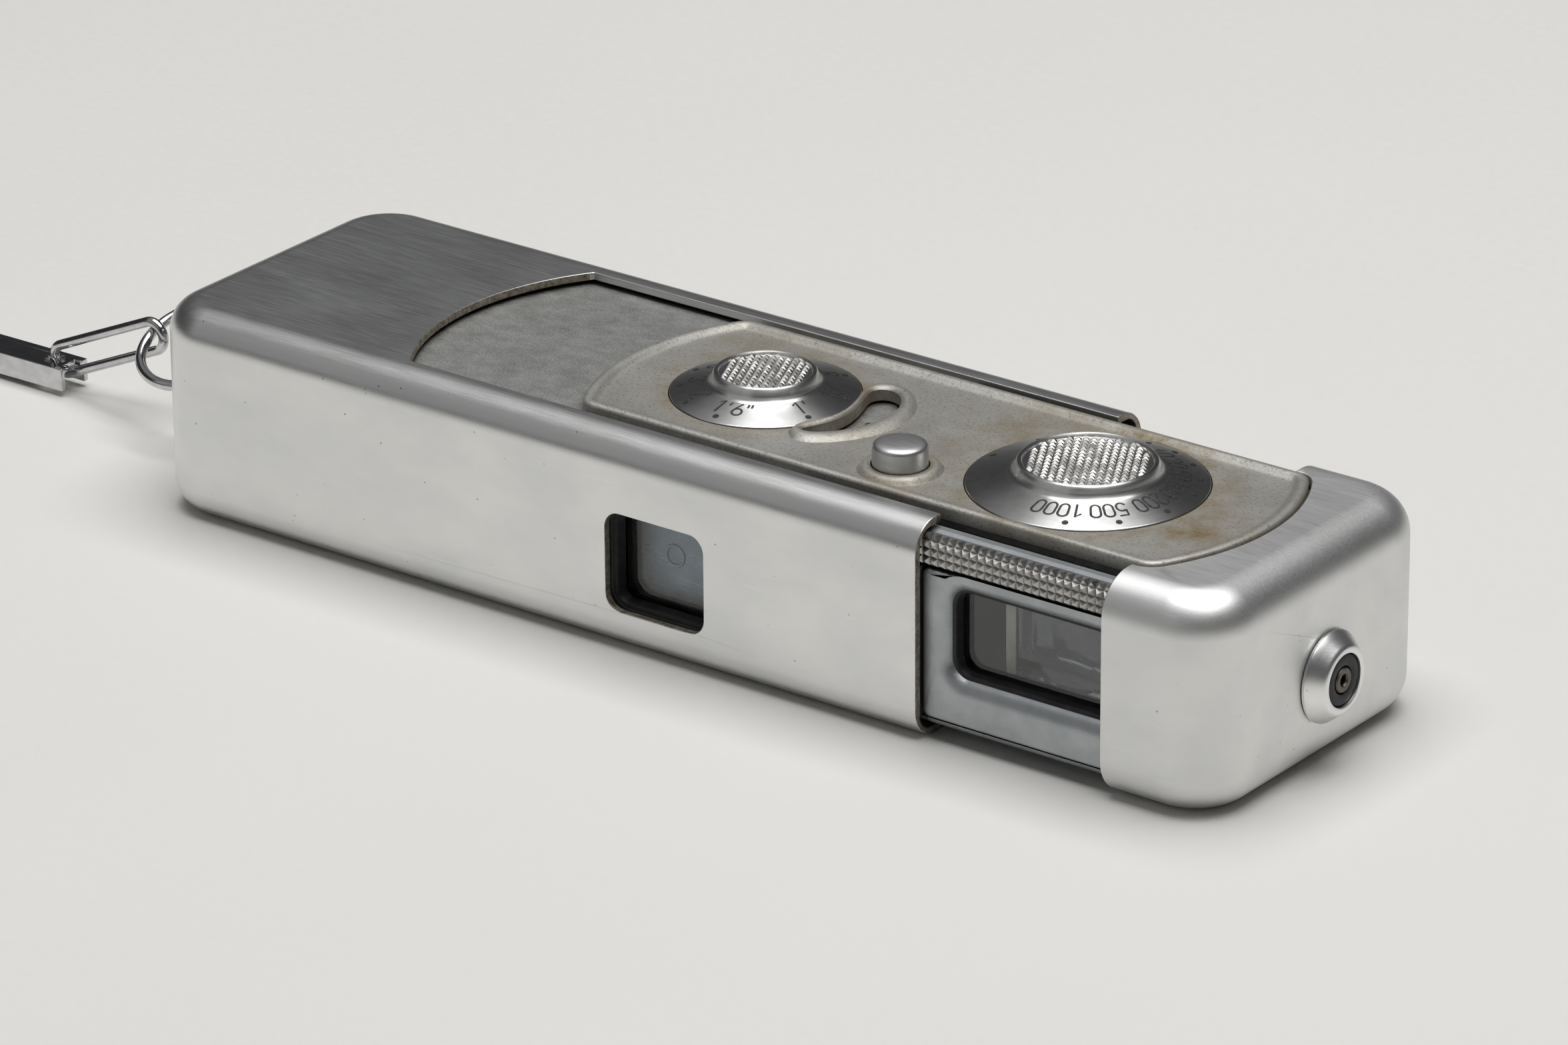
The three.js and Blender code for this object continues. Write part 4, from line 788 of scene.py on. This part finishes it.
# ---- dials
# strokes of each character, one unit high
GLYPHS = {
    "1": [[(0.02, 0.76), (0.26, 1.0), (0.26, 0.0)]],
    "'": [[(0.1, 1.0), (0.06, 0.72)]],
    '"': [[(0.08, 1.0), (0.04, 0.72)], [(0.3, 1.0), (0.26, 0.72)]],
}


def arc(cx, cy, rx, ry, a0, a1, steps=10):
    """Part of an ellipse between two angles in degrees."""
    turn = [math.radians(a0 + (a1 - a0) * i / steps) for i in range(steps + 1)]
    return [(cx + rx * math.cos(t), cy + ry * math.sin(t)) for t in turn]


GLYPHS["0"] = [arc(0.25, 0.74, 0.25, 0.26, 0, 180) + arc(0.25, 0.26, 0.25, 0.26, 180, 360) + [(0.5, 0.74)]]
GLYPHS["2"] = [arc(0.25, 0.74, 0.25, 0.26, 165, -35) + [(0.0, 0.0), (0.52, 0.0)]]
GLYPHS["3"] = [arc(0.25, 0.76, 0.22, 0.24, 160, -85) + arc(0.24, 0.27, 0.26, 0.27, 85, -160)]
GLYPHS["5"] = [[(0.46, 1.0), (0.08, 1.0), (0.05, 0.56)] + arc(0.23, 0.32, 0.27, 0.32, 125, -150)]
GLYPHS["6"] = [[(0.42, 1.0), (0.16, 0.66), (0.03, 0.38)] + arc(0.26, 0.27, 0.25, 0.27, 160, 520, 18)]
GLYPHS["8"] = [arc(0.25, 0.77, 0.2, 0.23, 90, 450, 16), arc(0.25, 0.27, 0.25, 0.27, 90, 450, 16)]
GLYPHS["o"] = [arc(0.16, 0.5, 0.2, 0.2, 0, 360, 14), arc(0.58, 0.5, 0.2, 0.2, 180, 540, 14)]
WIDTHS = {"1": 0.46, "'": 0.22, '"': 0.46, "o": 0.9}  # the others are 0.5 wide


def ribbon(points, faces, line, width):
    """Flat stroke of one width along a line, with round ends."""
    half = width / 2
    n = len(line)
    rails = []
    for i in range(n):
        ax, ay = line[max(0, i - 1)]
        cx, cy = line[min(n - 1, i + 1)]
        length = math.hypot(cx - ax, cy - ay) or 1.0
        nx, ny = -(cy - ay) / length, (cx - ax) / length
        rails.append((len(points), len(points) + 1))
        x, y = line[i]
        points += [(x + nx * half, y + ny * half), (x - nx * half, y - ny * half)]
    for (a, b), (c, d) in zip(rails, rails[1:]):
        faces.append((a, b, d, c))
    for x, y in (line[0], line[-1]):
        disc(points, faces, x, y, half)


def disc(points, faces, x, y, r, steps=14):
    first = len(points)
    points += circle(x, y, r, steps)
    faces.append(tuple(range(first, first + steps)))


def write_on_arc(points, faces, text, angle, radius, height, width, outward, squeeze=1.0):
    """Text centred at an angle in degrees, its tops turned out of the dial or towards its centre."""
    gap = 0.19
    widths = [WIDTHS.get(c, 0.5) for c in text]
    total = sum(widths) + gap * (len(text) - 1)
    along = -total / 2
    sign = -1 if outward else 1
    for c, w in zip(text, widths):
        for stroke in GLYPHS[c]:
            line = []
            for gx, gy in stroke:
                s = (along + gx) * height * squeeze
                r = radius + (gy * height if outward else -gy * height)
                t = math.radians(angle) + sign * s / radius
                line.append((r * math.cos(t), r * math.sin(t)))
            ribbon(points, faces, line, width)
        along += w + gap


def on_cone(dial, points, lift=0.012):
    """Flat points about the dial's axis, laid just above its cone."""
    slope = cone_slope(dial)
    placed = []
    for x, y in points:
        placed.append((x + dial["x"], y, DIAL_RIM + (dial["rim"] - math.hypot(x, y)) * slope + lift))
    return placed


def make_dial(dial, body, name, turned):
    rim, top = dial["rim"], DIAL_RIM + dial["rise"]
    bore, underside = 1.6, 15.66
    profile = [(bore, underside), (rim - 0.08, underside), (rim, 15.74), (rim, DIAL_RIM - 0.07),
               (rim - 0.03, DIAL_RIM - 0.02), (rim - 0.1, DIAL_RIM + 0.02), (dial["knob"] - 0.05, top),
               (bore, top)]
    ring = soften(lathe(name + "_ring", profile, (dial["x"], 0, 0), steps=160), 0, 25)
    paint(ring, turned)
    return place(ring, body, "satin_aluminium", name)


def make_marks(name, body, dial, labels, dots, text_radius, dot_radius, height, outward, squeeze):
    """Numbers and index dots of a dial; labels are (text, angle) and dots are angles in degrees."""
    stroke, dot = 0.17, 0.24
    points, faces = [], []
    for text, angle in labels:
        write_on_arc(points, faces, text, angle, text_radius, height, stroke, outward, squeeze)
    for angle in dots:
        t = math.radians(angle)
        disc(points, faces, dot_radius * math.cos(t), dot_radius * math.sin(t), dot, 18)
    marks = new_mesh(name, on_cone(dial, points), faces)
    paint(marks, INK)
    return place(marks, body, "blackened_metal")


def stump(points, faces, base, cap):
    """Four-sided stump of a pyramid, open below."""
    first = len(points)
    points += base + cap
    for k in range(4):
        m = (k + 1) % 4
        faces.append((first + k, first + m, first + 4 + m, first + 4 + k))
    faces.append(tuple(range(first + 4, first + 8)))


def square(x, y, half):
    return [(x - half, y - half), (x + half, y - half), (x + half, y + half), (x - half, y + half)]


def diamonds(name, centre, radius, z, pitch, height, turn):
    """Field of small stumps inside a circle, each a little different in height."""
    cap_size, margin = 0.16, 0.35
    points, faces = [], []
    count = int(radius / pitch) + 2
    c, s = math.cos(turn), math.sin(turn)
    half = pitch / 2
    for i in range(-count, count + 1):
        for j in range(-count, count + 1):
            u, v = i * pitch, j * pitch
            if math.hypot(u, v) > radius - pitch * margin:
                continue
            lift = height * (0.8 + 0.3 * random.random())
            corners = []
            for size, level in ((half, z), (cap_size * half, z + lift)):
                for a, b in square(u, v, size):
                    corners.append((centre[0] + a * c - b * s, centre[1] + a * s + b * c, level))
            stump(points, faces, corners[:4], corners[4:])
    return new_mesh(name, points, faces)


def make_knob(name, body, dial, profile, field, pitch, turn, metal):
    """Turned flange and, over the inside of its lip, a knurled field of a radius and height."""
    ring = soften(lathe(name + "_flange", profile, (dial["x"], 0, 0), steps=160), 0, 25)
    paint(ring, metal)
    place(ring, body, "bright_metal", name)
    top = diamonds(name + "_knurl", (dial["x"], 0), field[0], field[1], pitch, 0.24, turn)
    paint(top, KNURL)
    place(top, body, "bright_metal")


FOCUS_LABELS = (("1'6\"", -79), ("2'", -121), ("3'", -153), ("6'", 176), ("12'", 148), ("oo", 116),
                ("1'", -21), ("10\"", 24), ("8\"", 66))
FOCUS_DOTS = (-87.5, -119.5, -150, -179, 152, 120, -23.5, 17.5, 60)
FOCUS_FLANGE = ((0, 17.0), (4.3, 16.9), (4.32, 16.97), (4.2, 17.02), (4.08, 17.1), (3.98, 17.24),
                (3.9, 17.42), (3.85, 17.6), (3.79, 17.78), (3.69, 17.92), (3.56, 17.98), (3.44, 17.95),
                (3.37, 17.86), (3.34, 17.74), (0, 17.72))
SPEED_LABELS = (("1000", -74.2), ("500", -42), ("200", -13), ("100", 13), ("50", 36), ("20", 55), ("10", 73),
                ("5", 91), ("2", 109))
SPEED_DOTS = (-66.5, -39, -10.5, 16, 35, 55, 74, 92, 110, 151, -177)
SPEED_FLANGE = ((0, 17.1), (5.55, 17.0), (5.57, 17.08), (5.45, 17.13), (5.34, 17.21), (5.24, 17.34),
                (5.16, 17.5), (5.11, 17.68), (5.05, 17.86), (4.95, 18.0), (4.81, 18.07), (4.68, 18.04),
                (4.6, 17.95), (4.56, 17.82), (0, 17.8))


def make_dials():
    focus_metal = turned_metal("turned_focus_dial", FOCUS["x"])
    speed_metal = turned_metal("turned_speed_dial", SPEED["x"])
    make_dial(FOCUS, "focus", "focus_dial", focus_metal)
    make_dial(SPEED, "speed", "speed_dial", speed_metal)
    make_marks("focus_numbers", "focus", FOCUS, FOCUS_LABELS, FOCUS_DOTS, 5.68, 6.22, 1.42, False, 1.1)
    make_marks("speed_numbers", "speed", SPEED, SPEED_LABELS, SPEED_DOTS, 5.8, 7.85, 1.38, True, 0.88)
    make_knob("focus_knob", "focus", FOCUS, FOCUS_FLANGE, (3.36, 17.7), 0.54, 0.42, focus_metal)
    make_knob("speed_knob", "speed", SPEED, SPEED_FLANGE, (4.58, 17.78), 0.56, 0.5, speed_metal)


# ---- counter and button
def make_counter_marks():
    level = 15.37
    points, faces = [], []
    for i, digit in enumerate("0515253550"):
        write_on_arc(points, faces, digit, 8 + i * 36, 8.2, 1.0, 0.13, True)
    marks = new_mesh("counter_numbers", [(x + FOCUS["x"], y, level) for x, y in points], faces)
    paint(marks, INK)
    place(marks, "counter", "blackened_metal")


def make_button():
    r, top = BUTTON["r"], BUTTON["top"]
    foot, foot_top, flange = 14.2, 14.8, 0.5
    profile = [(0, foot), (r + flange, foot), (r + flange, foot_top), (r, foot_top), (r, top - 0.36),
               (r - 0.03, top - 0.22), (r - 0.12, top - 0.09), (r - 0.28, top), (r - 0.55, top + 0.06),
               (r * 0.5, top + 0.11), (0, top + 0.14)]
    button = soften(lathe("release_button_cap", profile, (BUTTON["x"], BUTTON["y"], 0), steps=96), 0, 32)
    paint(button, satin_sheet("satin_button", 0.6, 0.36))
    place(button, "button", "satin_aluminium", "release_button")


# ---- filter bar
def bar_point(s, lift):
    """Point on the bar's section at arc length s up the face, raised outwards."""
    straight, radius = 1.3, 1.25
    y, z = -12.5, 13.25
    if s <= straight:
        return (y - lift, z + s)
    t = (s - straight) / radius
    cy, cz = y + radius, z + straight
    return (cy - (radius + lift) * math.cos(t), cz + (radius + lift) * math.sin(t))


def make_filter_bar():
    x0, x1, pitch = 12.0, 41.0, 0.66
    rows, row_height, lift, cap_half = 4, 0.6, 0.27, 0.06
    points, faces = [], []
    for i in range(int((x1 - x0) / pitch)):
        for j in range(rows):
            a, b = x0 + i * pitch, x0 + (i + 1) * pitch
            s, t = j * row_height, (j + 1) * row_height
            base = [(x, *bar_point(q, 0)) for x, q in ((a, s), (b, s), (b, t), (a, t))]
            cap = []
            for x, q in square((a + b) / 2, (s + t) / 2, cap_half):
                cap.append((x, *bar_point(q, lift * (0.94 + 0.08 * random.random()))))
            stump(points, faces, base, cap)
    knurl = new_mesh("filter_bar_knurl", points, faces)
    paint(knurl, KNURL)
    place(knurl, "filter", "bright_metal")
    section = [bar_point(rows * row_height * i / 12, -0.01) for i in range(13)]
    section += [(-11.82, 15.42), (-11.82, 14.9), (-11.95, 13.25)]
    rings = [[(x, y, z) for y, z in section] for x in (x0, x1)]
    core = soften(loft("filter_bar_core", rings), 0)
    paint(core, CASTING)
    place(core, "filter", "bright_metal", "filter_bar")


# ---- finder
def bezel(name, opening, front, side, node):
    """Frame of an opening: rings from the back edge, round the outside, over the face and down inside."""
    x0, x1, z0, z1 = 22.65, 40.5, 1.75, 13.0
    back = 1.5
    outside = ((0, back), (0, 0.32), (0.06, 0.16), (0.16, 0.05), (0.32, 0))
    inside = ((1.5, 0), (1.2, 0.03), (0.95, 0.1), (0.7, 0.22), (0.48, 0.4), (0.3, 0.64), (0.16, 0.92),
              (0.06, 1.2), (0, back))
    rings = []
    for inset, depth in outside:
        plan = corner_loop(x0 + inset, x1 - inset, z0 + inset, z1 - inset, 0.45 + (0.32 - inset) * 0.2, 10)
        rings.append([(x, front + side * depth, z) for x, z in plan])
    for grow, depth in inside:
        rings.append([(x, front + side * depth, z) for x, z in grown(opening, grow)])
    frame_face = soften(fix_normals(loft(name, rings, cyclic=True)), 0, 40)
    paint(frame_face, CASTING)
    place(frame_face, "carriage", "grey_casting", node)


def lining(name, opening, section):
    """Black ring round an opening; its section is (growth of the outline, Y) points."""
    rings = [[(x, y, z) for x, z in grown(opening, grow)] for grow, y in section]
    ring = soften(fix_normals(loft(name, rings, cyclic=True)), 0, 40)
    paint(ring, DARK)
    place(ring, "carriage", "blackened_metal")


def make_finder():
    bezel("finder_bezel_face", FINDER_OPENING, -BODY_HALF, 1, "finder_bezel")
    section = ((0.3, -11.24), (-0.06, -11.24), (-0.03, -11.92), (0.08, -12.04), (0.3, -12.1))
    lining("finder_window_frame", FINDER_OPENING, section)
    strip = corner_loop(27.75, 28.55, 5.3, 11.7, 0.3, 6)
    edge = soften(prism_y("finder_lens_ground_edge", strip, -9.56, -9.42), 0.04)
    paint(edge, machined("ground_glass_edge", (0.75, 0.7, 0.6), 0.6, 0.0, (3.0, 3.0, 3.0)))
    place(edge, "carriage", "optical_glass")
    bezel("eyepiece_bezel_face", EYE_OPENING, BODY_HALF, -1, "eyepiece_bezel")


# ---- lens window
def make_lens_window():
    section = ((-0.02, -12.75), (-0.02, -11.9), (-0.5, -11.9), (-0.42, -12.5), (-0.3, -12.7))
    lining("lens_window_lining", LENS_OPENING, section)


# ---- socket
def make_socket():
    """Three nested rings on the cap's end: cone, insulator and contact; heights run outwards from the cap."""
    cone = [(1.95, -2.6), (2.3, -2.6), (2.3, 0.05), (3.3, 0.05), (3.37, 0.12), (3.37, 0.3), (3.3, 0.42),
            (3.08, 0.66), (2.62, 1.28), (2.5, 1.42), (2.36, 1.5), (2.1, 1.5), (1.98, 1.44), (1.95, 1.3)]
    insulator = [(1.0, -2.4), (1.9, -2.4), (1.9, 1.22), (1.82, 1.32), (1.7, 1.36), (1.2, 1.36), (1.05, 1.3),
                 (1.0, 1.1)]
    contact = [(0.42, -2.0), (0.92, -2.0), (0.92, 1.3), (0.85, 1.4), (0.7, 1.42), (0.5, 1.38), (0.42, 1.25)]
    satin = satin_sheet("satin_socket", 0.85, 0.3)
    dulled = machined("dulled_contact", (0.17, 0.15, 0.13), 0.45)
    for name, profile, steps, material, slot, node in (
        ("socket_boss_cone", cone, 96, satin, "bright_metal", "socket_boss"),
        ("socket_insulator_ring", insulator, 64, DARK, "blackened_metal", "socket_insulator"),
        ("socket_contact_tube", contact, 48, dulled, "steel_parts", "socket_contact"),
    ):
        ring = soften(lathe(name, profile, (RIGHT, 0, SOCKET_Z), "X", steps), 0, 30)
        paint(ring, material)
        place(ring, "carriage", slot, node)


# ---- chain
def wire_loop(name, path, wire, normal, turn):
    """Closed wire along a path in a plane with this normal, moved into place by turn."""
    steps = 20
    rings = []
    for i, point in enumerate(path):
        along = Vector(path[(i + 1) % len(path)]) - Vector(path[i - 1])
        sideways = along.normalized().cross(normal).normalized()
        ring = []
        for k in range(steps):
            a = 2 * PI * k / steps
            corner = Vector(point) + sideways * wire * math.cos(a) + normal * wire * math.sin(a)
            ring.append(tuple(turn @ corner))
        rings.append(ring)
    loop = soften(fix_normals(loft(name, rings, cyclic=True)), 0)
    return paint(loop, CHAIN)


def make_chain_ring():
    turn = Matrix.Translation((STUD_EYE, 0, STUD_Z)) @ Matrix.Rotation(-RING_DROOP, 4, "Y")
    turn = turn @ Matrix.Translation((-RING_RADIUS, 0, 0)) @ Matrix.Rotation(RING_ROLL, 4, "X")
    path = [(x, y, 0) for x, y in circle(0, 0, RING_RADIUS)]
    ring = wire_loop("chain_ring_wire", path, RING_WIRE, Vector((0, 0, 1)), turn)
    place(ring, "ring", "bright_metal", "chain_ring")


def make_wire_link(near):
    """Long link that hangs from near, a point in X and Z."""
    half = LINK_HEIGHT / 2 - LINK_WIRE
    oval = []
    for centre, start in ((half - LINK_LENGTH, PI / 2), (-half, PI * 1.5)):
        for i in range(25):
            t = start + PI * i / 24
            oval.append((centre + half * math.cos(t), 0, half * math.sin(t)))
    turn = Matrix.Translation((near[0], 0, near[1])) @ Matrix.Rotation(-LINK_TILT, 4, "Y")
    link = wire_loop("chain_link_wire", oval, LINK_WIRE, Vector((0, 1, 0)), turn)
    place(link, "wire_link", "bright_metal", "chain_wire_link")


def make_bar_link(end):
    """Channel-shaped bar that hangs by its first hole from end, a point in X and Z."""
    half = BAR_WIDTH / 2
    outer = block("chain_bar", -BAR_LENGTH, 0, -half, half, -BAR_THICK, 0)
    hollow = block("tool", -BAR_LENGTH - 1, 1, BAR_WALL - half, half - BAR_WALL, -BAR_THICK - 1, -BAR_WALL)
    holes = [prism("tool", circle(-x, 0, 0.9, 32), -1, 1) for x in (BAR_HOLE, BAR_LENGTH - BAR_HOLE)]
    notches = [block("tool", x - 0.6, x + 0.6, -0.7, 0.7, -1, 1) for x in (0, -BAR_LENGTH)]
    cut(outer, hollow, *holes, *notches)
    turn = Matrix.Translation((end[0] * MM, 0, end[1] * MM)) @ Matrix.Rotation(-BAR_TILT, 4, "Y")
    outer.data.transform(turn @ Matrix.Translation((BAR_HOLE * MM, 0, BAR_WALL / 2 * MM)))
    soften(outer, 0.16, segments=3)
    paint(outer, CHAIN)
    place(outer, "bar_link", "bright_metal", "chain_bar_link")


def make_chain():
    across = 2 * RING_RADIUS
    far = (STUD_EYE - across * math.cos(RING_DROOP), STUD_Z - across * math.sin(RING_DROOP))
    near = (far[0] + RING_WIRE + LINK_WIRE + LINK_LIFT, far[1] + LINK_LIFT)
    end = (near[0] - LINK_LENGTH * math.cos(LINK_TILT), near[1] - LINK_LENGTH * math.sin(LINK_TILT))
    make_chain_ring()
    make_wire_link(near)
    make_bar_link(end)


make_sleeve()
make_cap()
make_panel()
make_dials()
make_counter_marks()
make_button()
make_filter_bar()
make_finder()
make_lens_window()
make_socket()
make_chain()
paint(frame["nodes"]["shutter_blade"], BLADE)

# ---- floor, light and camera
TABLE_HALF, TABLE_Z = 4000, -0.02
floor = new_mesh("table", [(x, y, TABLE_Z) for x, y in square(0, 0, TABLE_HALF)], [(0, 1, 2, 3)])
paint(floor, paper_floor())


def softbox(name, place_at, aim, size, power):
    """Rectangular area light; all lengths in metres."""
    light = bpy.data.lights.new(name, "AREA")
    light.shape = "RECTANGLE"
    light.size, light.size_y = size
    light.energy = power
    obj = bpy.data.objects.new(name, light)
    obj.location = place_at
    direction = Vector(aim) - Vector(place_at)
    obj.rotation_euler = direction.to_track_quat("-Z", "Y").to_euler()
    bpy.context.scene.collection.objects.link(obj)


softbox("overhead", (0.06, 0.05, 0.72), (0.06, 0.05, 0), (0.72, 0.6), 5.9)
softbox("left_wall", (-0.75, 0.1, 0.95), (0, 0, 0), (1.6, 0.5), 0.45)
softbox("front_fill", (-0.4, -0.95, 0.6), (0, 0, 0), (1.3, 0.8), 0.85)

world = bpy.data.worlds.new("studio")
world.use_nodes = True
background = world.node_tree.nodes["Background"]
background.inputs["Color"].default_value = (0.93, 0.95, 1.0, 1.0)
background.inputs["Strength"].default_value = 0.035
bpy.context.scene.world = world

CAMERA_PLACE = (0.323527, -0.424299, 0.236645)
YAW, PITCH, ROLL = math.radians(-37.234), math.radians(-23.363), math.radians(-0.44)
FOCAL_LENGTH, SENSOR_WIDTH = 185.07, 36.0

forward = Vector((math.sin(YAW) * math.cos(PITCH), math.cos(YAW) * math.cos(PITCH), math.sin(PITCH)))
level_right = forward.cross(Vector((0, 0, 1))).normalized()
level_up = level_right.cross(forward)
right = level_right * math.cos(ROLL) + level_up * math.sin(ROLL)
up = level_up * math.cos(ROLL) - level_right * math.sin(ROLL)
camera_data = bpy.data.cameras.new("camera")
camera_data.lens = FOCAL_LENGTH
camera_data.sensor_width = SENSOR_WIDTH
camera_data.sensor_fit = "HORIZONTAL"
camera_data.clip_start, camera_data.clip_end = 0.01, 20.0
camera = bpy.data.objects.new("camera", camera_data)
camera.matrix_world = Matrix.Translation(CAMERA_PLACE) @ Matrix((right, up, -forward)).transposed().to_4x4()
bpy.context.scene.collection.objects.link(camera)
bpy.context.scene.camera = camera
bpy.context.scene.view_settings.view_transform = "Standard"
